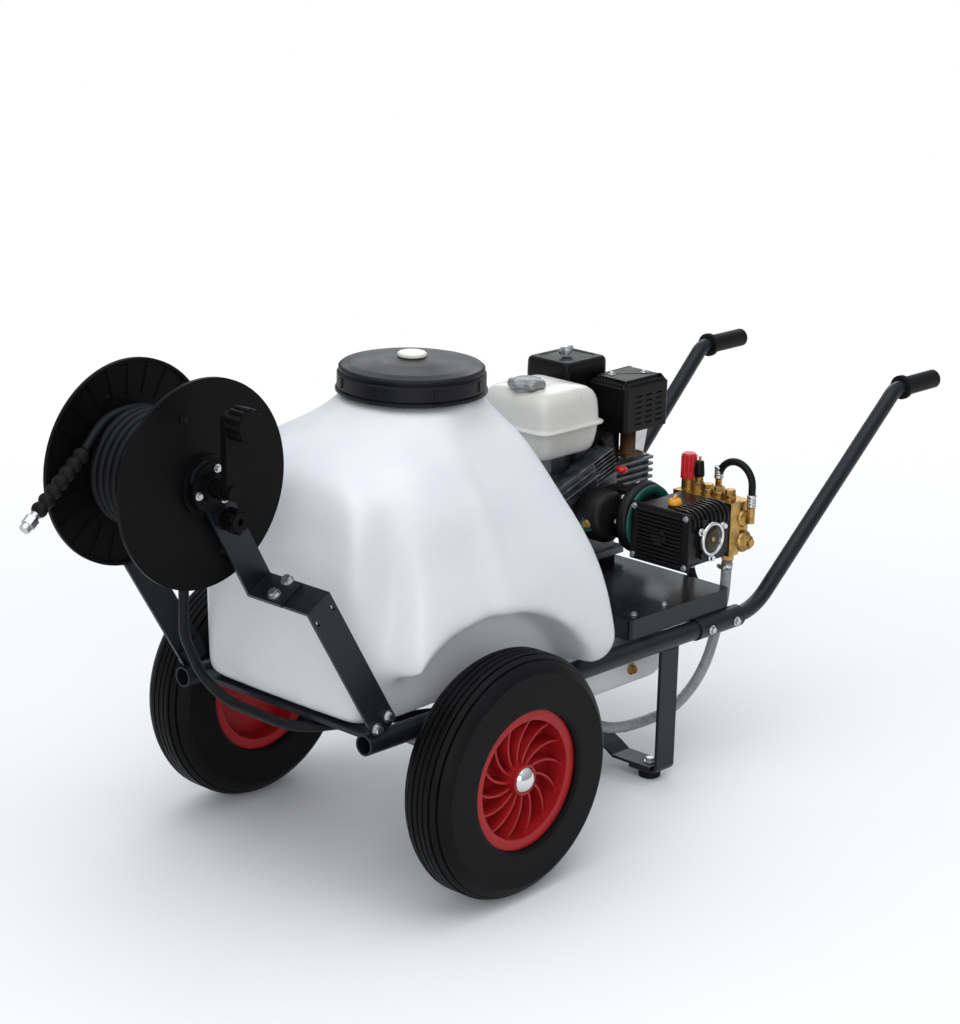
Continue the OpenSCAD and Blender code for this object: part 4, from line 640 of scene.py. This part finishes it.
def guard():
    """The exhaust's guard: a bent cover with chamfered top edges, pierced by rows of slots."""
    shape = bmesh.new()
    size = Vector(GUARD_SIZE) / 1000
    bmesh.ops.create_cube(shape, size=1, matrix=Matrix.Diagonal((*size, 1)))
    upright = [e for e in shape.edges if abs(e.verts[0].co.z - e.verts[1].co.z) > 0.05]
    bmesh.ops.bevel(shape, geom=upright, offset=GUARD_ROUND, segments=4, profile=0.5, affect="EDGES")
    crown = [e for e in shape.edges if min(v.co.z for v in e.verts) > size.z / 2 - 1e-5]
    bmesh.ops.bevel(shape, geom=crown, offset=GUARD_CHAMFER, segments=1, profile=0.5, affect="EDGES")
    bmesh.ops.recalc_face_normals(shape, faces=shape.faces)
    mesh = bpy.data.meshes.new("guard")
    shape.to_mesh(mesh)
    shape.free()
    obj = put("guard_form", mesh)
    lean_y, lean_x = Matrix.Rotation(math.radians(45), 4, "X"), Matrix.Rotation(math.radians(-45), 4, "Y")
    up = Matrix.Rotation(math.radians(90), 4, "X")
    half, face = size / 2, GUARD_CHAMFER / 2
    slots = [
        grown(bar(17, 3.2, 6, 1.2), GRID, Matrix.Translation((0.004, -half.y, -0.008)) @ up,
              Columns=3, Rows=6, Wide=0.056, High=0.050),
        grown(bar(3.4, 5, 6), GRID, Matrix.Translation((0, -half.y + face, half.z - face)) @ lean_y,
              Columns=14, Rows=2, Wide=0.084, High=0.0085),
        grown(bar(5, 3.4, 6), GRID, Matrix.Translation((-half.x + face, 0, half.z - face)) @ lean_x,
              Columns=2, Rows=10, Wide=0.0085, High=0.062),
        grown(bar(17, 3.2, 6, 1.2), GRID, Matrix.Translation((0, half.y, -0.008)) @ up,
              Columns=3, Rows=6, Wide=0.056, High=0.050)]
    cutter = put("guard_slots", joined("guard_slots", *slots))
    cut = obj.modifiers.new("slots", "BOOLEAN")
    cut.object, cut.operation, cut.solver, cut.use_self = cutter, "DIFFERENCE", "EXACT", True
    made = shown_mesh(obj)
    bpy.data.objects.remove(obj)
    bpy.data.objects.remove(cutter)
    made.transform(chassis(GUARD_AT))
    return made


piece("exhaust_guard", guard(), satin_black, "chassis", "engine_black", "muffler")
piece("exhaust_pipe", joined(
    "exhaust_pipe", lathe("pipe", [(0, 0), (17, 0), (17, 4), (14, 5), (14, 52), (0, 52)], chassis((688, 52, 522))),
    bar(46, 40, 6, 1.5, chassis((690, 56, 522)))), rust_brown, "chassis", "engine_black")
piece("exhaust_plate", bar(34, 3, 76, 1.2, chassis((727, 58, 540)) @ Matrix.Rotation(math.radians(12), 4, "Y")), zinc,
      "chassis", "bare_steel")
piece("guard_screws", grown(hex_screw(8, 5, 6.5), ROW, chassis((672, 82, 663.8)), Count=2, Step=(0.056, -0.028, 0.0)),
      zinc, "chassis", "bare_steel")

# The leaning cylinder: its cooling fins, the casting's ledges under the fuel tank, and the black cowl behind them
fin_lean = Matrix.Rotation(math.radians(-19), 4, "Y")
piece("cylinder_fins", joined(
    "cylinder_fins",
    grown(bar(88, 26, 2.4, 0.9), ROW, chassis((580, 30, 496)) @ fin_lean, Count=7, Step=(0.0, 0.0, 0.0074)),
    grown(bar(116, 18, 3.4, 1.3), ROW, chassis((512, 18, 496)) @ fin_lean, Count=3, Step=(-0.004, 0.003, 0.012))),
    fin_alloy, "chassis", "engine_alloy")
piece("cylinder_core", joined(
    "cylinder_core", bar(82, 34, 58, 5, chassis((580, 42, 512)) @ fin_lean, 3),
    bar(110, 34, 46, 5, chassis((512, 32, 498)) @ fin_lean, 3)), cast_alloy, "chassis", "engine_alloy")
piece("cylinder_cowl", joined(
    "cylinder_cowl", bar(74, 58, 74, 9, chassis((646, 92, 536)), 3),
    bar(30, 20, 66, 5, chassis((640, 60, 534)) @ fin_lean, 3)), satin_black, "chassis", "engine_black")
piece("breather_cap", lathe("breather_cap", [(0, 0), (9, 0), (10, 2), (10, 7), (8.6, 9.4), (0, 10)],
                            chassis((624, 10, 508))), knob_red, "chassis", "knob_red")

# The drive: gear case, screws round its bell, the seal between bell and pump, and the gear case's plug
CRANK_X, CRANK_Z = 600, 446
drive = chassis((CRANK_X, 0, CRANK_Z), (0, -1, 0))
piece("gear_case", lathe("gear_case", [
    (0, -14), (40, -14), (44, -12), (46, -8), (47, 10), (48, 36), (50, 43), (55, 48), (61, 51), (64, 56), (64.5, 62),
    (63, 68), (59, 71.6), (0, 71.6)], drive, 72), pump_black, "chassis", "engine_black", "gearbox")
piece("gear_lobe", lathe("gear_lobe", [
    (0, -14), (38, -14), (43, -12), (46, -8), (46.5, 8), (46, 30), (43, 36), (36, 39), (0, 40)],
    chassis((546, 0, 450), (0, -1, 0)), 72), pump_black, "chassis", "engine_black")
piece("gear_ribs", grown(bar(9, 5, 30, 2.2), RING, drive @ Matrix.Translation((0, 0, 0.034)), Count=7, Radius=0.049),
      pump_black, "chassis", "engine_black")
piece("bell_screws", grown(hex_screw(9, 6, 6.5), RING, chassis((CRANK_X, -51.6, CRANK_Z), (0, 1, 0)), Count=8,
                           Radius=0.0565), zinc, "chassis", "bare_steel")
piece("pump_seal", lathe("pump_seal", [(46, 0), (60, 0), (61.5, 1), (61.5, 3.6), (60, 4.6), (46, 4.6), (46, 0)],
                         chassis((602, -72.2, 444), (0, -1, 0)), 64), seal_green, "chassis", "engine_black")
gear_plug = chassis((503, -18, 443), (-1, -0.25, 0.1))
piece("plug_ring", lathe("plug_ring", [(8, 0), (13, 0), (13.6, 1.4), (13, 3), (8, 3), (8, 0)], gear_plug, 32),
      seal_green, "chassis", "engine_black")
piece("plug_brass", joined(
    "plug_brass", lathe("plug", [(0, -14), (8.4, -14), (8.4, 4), (7.4, 5), (0, 5)], gear_plug, 32),
    lathe("plug_hex", [(0, 4.6), (5.4, 4.6), (5.4, 9), (0, 9)], gear_plug, 6, False)), brass, "chassis", "brass")

# The pump's trim: oil cap, sight glass in its lugged ring, sleeve on the switch
oil_cap = chassis((584, -145, 490))
piece("oil_cap", joined("oil_cap", lathe("cap", [(0, 0), (11.6, 0), (12, 1), (12, 5.5), (10.8, 7.4), (10.4, 9.6),
                                                 (8.6, 10.6), (0, 10.8)], oil_cap, 40),
                        bar(18, 5.4, 7, 2.0, oil_cap @ Matrix.Translation((0, 0, 0.0125)) @
                            Matrix.Rotation(0.5, 4, "Z"))), cap_amber, "chassis", "knob_red")
sight = chassis((605, -210, 439.6), (0, -1, 0))
piece("sight_ring", joined(
    "sight_ring", lathe("ring", [(24, 0), (29.5, 0), (30, 1), (29.6, 5.6), (28, 7.4), (26, 7.4), (24.6, 6.4), (24, 5),
                                 (24, 0)], sight, 64),
    grown(lathe("lug", [(0, 0), (7, 0), (7, 3.4), (6, 4.2), (0, 4.2)], Matrix(), 24), RING, sight, Count=3,
          Radius=0.034),
    grown(hex_screw(8, 9.5, 5.4), RING, sight, Count=3, Radius=0.0345)), chrome, "chassis", "cap_chrome")
piece("sight_window", lathe("sight_window", [(0, 0), (24.4, 0), (24.4, 5.2), (14, 6.2), (0, 6.6)], sight, 48),
      sight_glass, "chassis", "engine_black")
piece("sight_dot", lathe("sight_dot", [(0, 5.6), (4.6, 5.6), (4.4, 7), (0, 7.3)], sight, 32), brass, "chassis", "brass")
piece("switch_sleeve", lathe("switch_sleeve", [
    (0, 0), (8.6, 0), (9.4, 1.5), (9.2, 6), (8.2, 18), (7.4, 26), (6.4, 27.4), (0, 27.4)],
    chassis((690, -112, 514)), 32), satin_black, "chassis", "engine_black")

# The pump's ribbed cover, and the plugs in its brass head
piece("cover_plate", joined(
    "cover_plate", bar(104, 130, 5, 2.2, chassis((553.4, -140, 437.6), (-1, 0, 0)), 3),
    grown(bar(3.2, 100, 7, 1.2), ROW, chassis((548.4, -140, 395.6), (-1, 0, 0)), Count=13, Step=(0.007, 0.0, 0.0)),
    lathe("cover_boss", [(0, 0), (15, 0), (16, 1), (16, 5), (14.5, 6.2), (11, 6.2), (10, 5), (0, 5)],
          chassis((551.4, -141, 437.6), (-1, 0, 0)), 48)), pump_black, "chassis", "engine_black", "pump_cover")
low_plug = chassis((706, -196, 412), (0, -1, 0))
piece("head_plugs", joined(
    "head_plugs", lathe("low_plug", [(0, 0), (19, 0), (20, 2), (19, 10), (15, 14), (13, 14), (12.4, 20), (0, 20)],
                        low_plug, 40),
    lathe("side_plug", [(0, 0), (15, 0), (15, 8), (12, 12), (0, 12)], chassis((700, -198, 455), (0, -1, 0)), 40),
    lathe("plug_hex", [(0, 20), (8, 20), (8, 26), (0, 26)], low_plug, 6, False)), brass, "chassis", "brass")

# Hose ends: crimped ferrules and worm-drive clamps

def ferrule(length, r):
    """A crimped sleeve along Z with three pressed grooves."""
    outline = [(0, 0), (r - 1, 0), (r, 1)]
    for i in range(3):
        h = length * (0.25 + 0.22 * i)
        outline += [(r, h - 2.2), (r - 0.9, h - 1.2), (r - 0.9, h + 1.2), (r, h + 2.2)]
    return outline + [(r, length - 1), (r - 1, length), (0, length)]


def clamp(place, r):
    """A clamp band with its worm housing and screw."""
    housing = place @ Matrix.Translation(((r + 4) / 1000, 0, 0))
    return joined("clamp", lathe("band", [(r, -4.5), (r + 1, -4.5), (r + 1, 4.5), (r, 4.5), (r, -4.5)], place, 40),
                  bar(7, 13, 8, 1.6, housing),
                  lathe("worm", [(0, -9), (3.6, -9), (3.6, -6), (2.6, -6), (2.6, 7), (0, 7)],
                        housing @ Matrix.Rotation(math.pi / 2, 4, "X"), 12))


FEED_FERRULE_R, BYPASS_FERRULE_R, CLAMP_R = 11, 8.6, 9.6
piece("feed_ferrules", joined(
    "feed_ferrules", lathe("upper", ferrule(34, FEED_FERRULE_R), chassis((-438, 131, 672.5), (0, 0, -1))),
    lathe("lower", ferrule(32, FEED_FERRULE_R), chassis((690, -99.1, 377), (0.02, -0.03, -1)))), zinc, "chassis",
    "bare_steel")
piece("bypass_ferrules", joined(
    "bypass_ferrules", lathe("rise", ferrule(22, BYPASS_FERRULE_R), chassis((711, -139, 511.6), (0, 0, 1))),
    lathe("fall", ferrule(22, BYPASS_FERRULE_R), chassis((711, -213, 475), (0, 0, 1)))), zinc, "chassis", "bare_steel")
piece("suction_clamps", joined(
    "suction_clamps", clamp(chassis((690, -182.4, 366), (0, 0.06, -1)), CLAMP_R),
    clamp(chassis((382, -137, 149), (0.5, -0.15, -0.85)), CLAMP_R)), zinc, "chassis", "bare_steel")


# Blind plugs in the reel's flanges
piece("flange_plugs", joined("flange_plugs", *[
    lathe("plug", [(0, -5), (4.6, -5), (4.6, 0), (7.4, 0), (6.8, 1.6), (0, 2.2)],
          chassis((REEL_X + dx, 86.2 * side, REEL_Z + dz), (0, side, 0)), 24)
    for dx, dz in ((38.3, -105.2), (-38.3, 105.2)) for side in (-1, 1)]), reel_plastic, "reel", "black_plastic")


# Weld beads where straps, plates and bars meet the rails

def path_mesh(*points):
    """A bare line of edges through chassis points."""
    mesh = bpy.data.meshes.new("path")
    mesh.from_pydata([at(*p) for p in points], [(i, i + 1) for i in range(len(points) - 1)], [])
    return mesh


# Each weld runs along X at a height on both sides
WELDS = [((x0, y, z), (x1, y, z)) for side in (-1, 1) for x0, x1, y, z in (
    (488, 524, side * 213.4, 264.8), (488, 524, side * 204.6, 264.8),
    (-38, 38, side * 214.4, 265.4), (-38, 38, side * 203.6, 265.4),
    (-205, -179, side * 190.6, 283), (607, 637, side * 190.6, 286), (607, 637, side * 190.6, 276))]
piece("weld_beads", joined("weld_beads", *[
    grown(path_mesh(*ends), BEAD, Width=0.0032, Pitch=0.0021) for ends in WELDS]), powder_coat, "chassis",
    "frame_paint")


# Floor, light and camera

FLOOR_HALF, FLOOR_DROP = 30, -0.0005
FLOOR_BOUNCE, FLOOR_SEEN = (0.62, 0.62, 0.63, 1), (0.93, 0.93, 0.93, 1)
FADE_FROM, FADE_TO = 0.7, 2.3
SKY_LOW, SKY_HIGH, SKY_TINT = 0.26, 0.86, (0.90, 0.95, 1.0, 1)
WHITE = (1, 1, 1, 1)

# The photograph's view: angles in degrees, focal length and height in pixels, and the camera's place in millimetres
VIEW_AZIMUTH, VIEW_ELEVATION, VIEW_ROLL = -46.7, 18.4, -0.4
FOCAL_PX, TALL_PX, SENSOR = 2782.9, 1024, 36
VIEW_FROM = (-2942.08, -3018.80, 1964.32)


def seen_rays(tree):
    """1 where the camera, a reflection or glass looks, and 0 for light that only bounces."""
    rays = wire(tree, "ShaderNodeLightPath").outputs
    first = wire(tree, "ShaderNodeMath", {0: rays["Is Camera Ray"], 1: rays["Is Transmission Ray"]},
                 operation="MAXIMUM").outputs[0]
    return wire(tree, "ShaderNodeMath", {0: first, 1: rays["Is Glossy Ray"]}, operation="MAXIMUM").outputs[0]


def pale_floor():
    """A pale floor that takes the cart's shadow and fades to white further out."""
    floor_mesh = bpy.data.meshes.new("floor")
    floor_mesh.from_pydata([(x * FLOOR_HALF, y * FLOOR_HALF, 0) for x, y in ((-1, -1), (1, -1), (1, 1), (-1, 1))], [],
                           [(0, 1, 2, 3)])
    floor = put("floor", floor_mesh)
    floor.location.z = FLOOR_DROP
    pale = bpy.data.materials.new("pale_floor")
    pale.use_nodes = True
    tree = pale.node_tree
    matt = tree.nodes["Principled BSDF"]
    matt.inputs["Roughness"].default_value = 0.9
    matt.inputs["Specular IOR Level"].default_value = 0.1
    seen = seen_rays(tree)
    tone = wire(tree, "ShaderNodeMix", {0: seen, 6: FLOOR_BOUNCE, 7: FLOOR_SEEN}, data_type="RGBA").outputs[2]
    tree.links.new(tone, matt.inputs["Base Color"])
    place = wire(tree, "ShaderNodeTexCoord").outputs["Object"]
    away = wire(tree, "ShaderNodeVectorMath", {0: place}, operation="LENGTH").outputs["Value"]
    far = wire(tree, "ShaderNodeMapRange", {"Value": away, "From Min": FADE_FROM, "From Max": FADE_TO},
               interpolation_type="SMOOTHSTEP").outputs["Result"]
    share = wire(tree, "ShaderNodeMath", {0: far, 1: seen}, operation="MULTIPLY").outputs[0]
    white = wire(tree, "ShaderNodeEmission", {"Color": WHITE, "Strength": 1.0}).outputs[0]
    mixed = wire(tree, "ShaderNodeMixShader", {0: share, 1: matt.outputs[0], 2: white}).outputs[0]
    tree.links.new(mixed, tree.nodes["Material Output"].inputs["Surface"])
    floor_mesh.materials.append(pale)


def studio_sky():
    """Soft light from all round, brighter from above, seen as plain white by the camera."""
    world = bpy.data.worlds.new("studio")
    bpy.context.scene.world = world
    world.use_nodes = True
    tree = world.node_tree
    light = tree.nodes["Background"]
    way = wire(tree, "ShaderNodeTexCoord").outputs["Generated"]
    height = wire(tree, "ShaderNodeSeparateXYZ", {0: way}).outputs["Z"]
    sky = wire(tree, "ShaderNodeMapRange", {"Value": height, "From Min": -0.05, "From Max": 0.85,
                                            "To Min": SKY_LOW, "To Max": SKY_HIGH}).outputs["Result"]
    rays = wire(tree, "ShaderNodeLightPath").outputs
    level = wire(tree, "ShaderNodeMix", {0: rays["Is Camera Ray"], 2: sky, 3: 1.0}, data_type="FLOAT").outputs[0]
    tint = wire(tree, "ShaderNodeMix", {0: rays["Is Camera Ray"], 6: SKY_TINT, 7: WHITE},
                data_type="RGBA").outputs[2]
    tree.links.new(tint, light.inputs["Color"])
    tree.links.new(level, light.inputs["Strength"])


def softbox(name, place, aim, size, watts):
    """A wide soft lamp that faces a point."""
    lamp = bpy.data.lights.new(name, "AREA")
    lamp.shape = "RECTANGLE"
    lamp.size, lamp.size_y = size
    lamp.energy = watts
    obj = put(name, lamp)
    obj.location = place
    obj.rotation_euler = (Vector(aim) - Vector(place)).to_track_quat("-Z", "Y").to_euler()


def camera():
    """A camera that stands where the photograph was taken from."""
    a, e, r = (math.radians(v) for v in (VIEW_AZIMUTH, VIEW_ELEVATION, VIEW_ROLL))
    back = Vector((math.sin(a) * math.cos(e), -math.cos(a) * math.cos(e), math.sin(e)))
    right = Vector((math.cos(a), math.sin(a), 0))
    up = right.cross(-back)
    right, up = math.cos(r) * right + math.sin(r) * up, math.cos(r) * up - math.sin(r) * right
    lens = bpy.data.cameras.new("photo_view")
    lens.sensor_fit = "AUTO"
    lens.sensor_width = SENSOR
    lens.lens = FOCAL_PX / TALL_PX * SENSOR
    obj = put("photo_view", lens)
    turned = Matrix((right, up, back)).transposed().to_4x4()
    obj.matrix_world = Matrix.Translation(Vector((VIEW_FROM[0] - MID_X, *VIEW_FROM[1:])) / 1000) @ turned
    bpy.context.scene.camera = obj


pale_floor()
studio_sky()
softbox("overhead", (-0.6, -0.5, 3.2), (0, 0, 0.3), (3.2, 3.2), 38)
softbox("front_left", (-3.0, -2.6, 1.4), (0, 0, 0.45), (2.6, 2.0), 40)
softbox("behind", (2.6, 2.2, 2.2), (0, 0, 0.5), (2.4, 1.6), 28)
camera()
bpy.context.scene.view_settings.view_transform = "Standard"
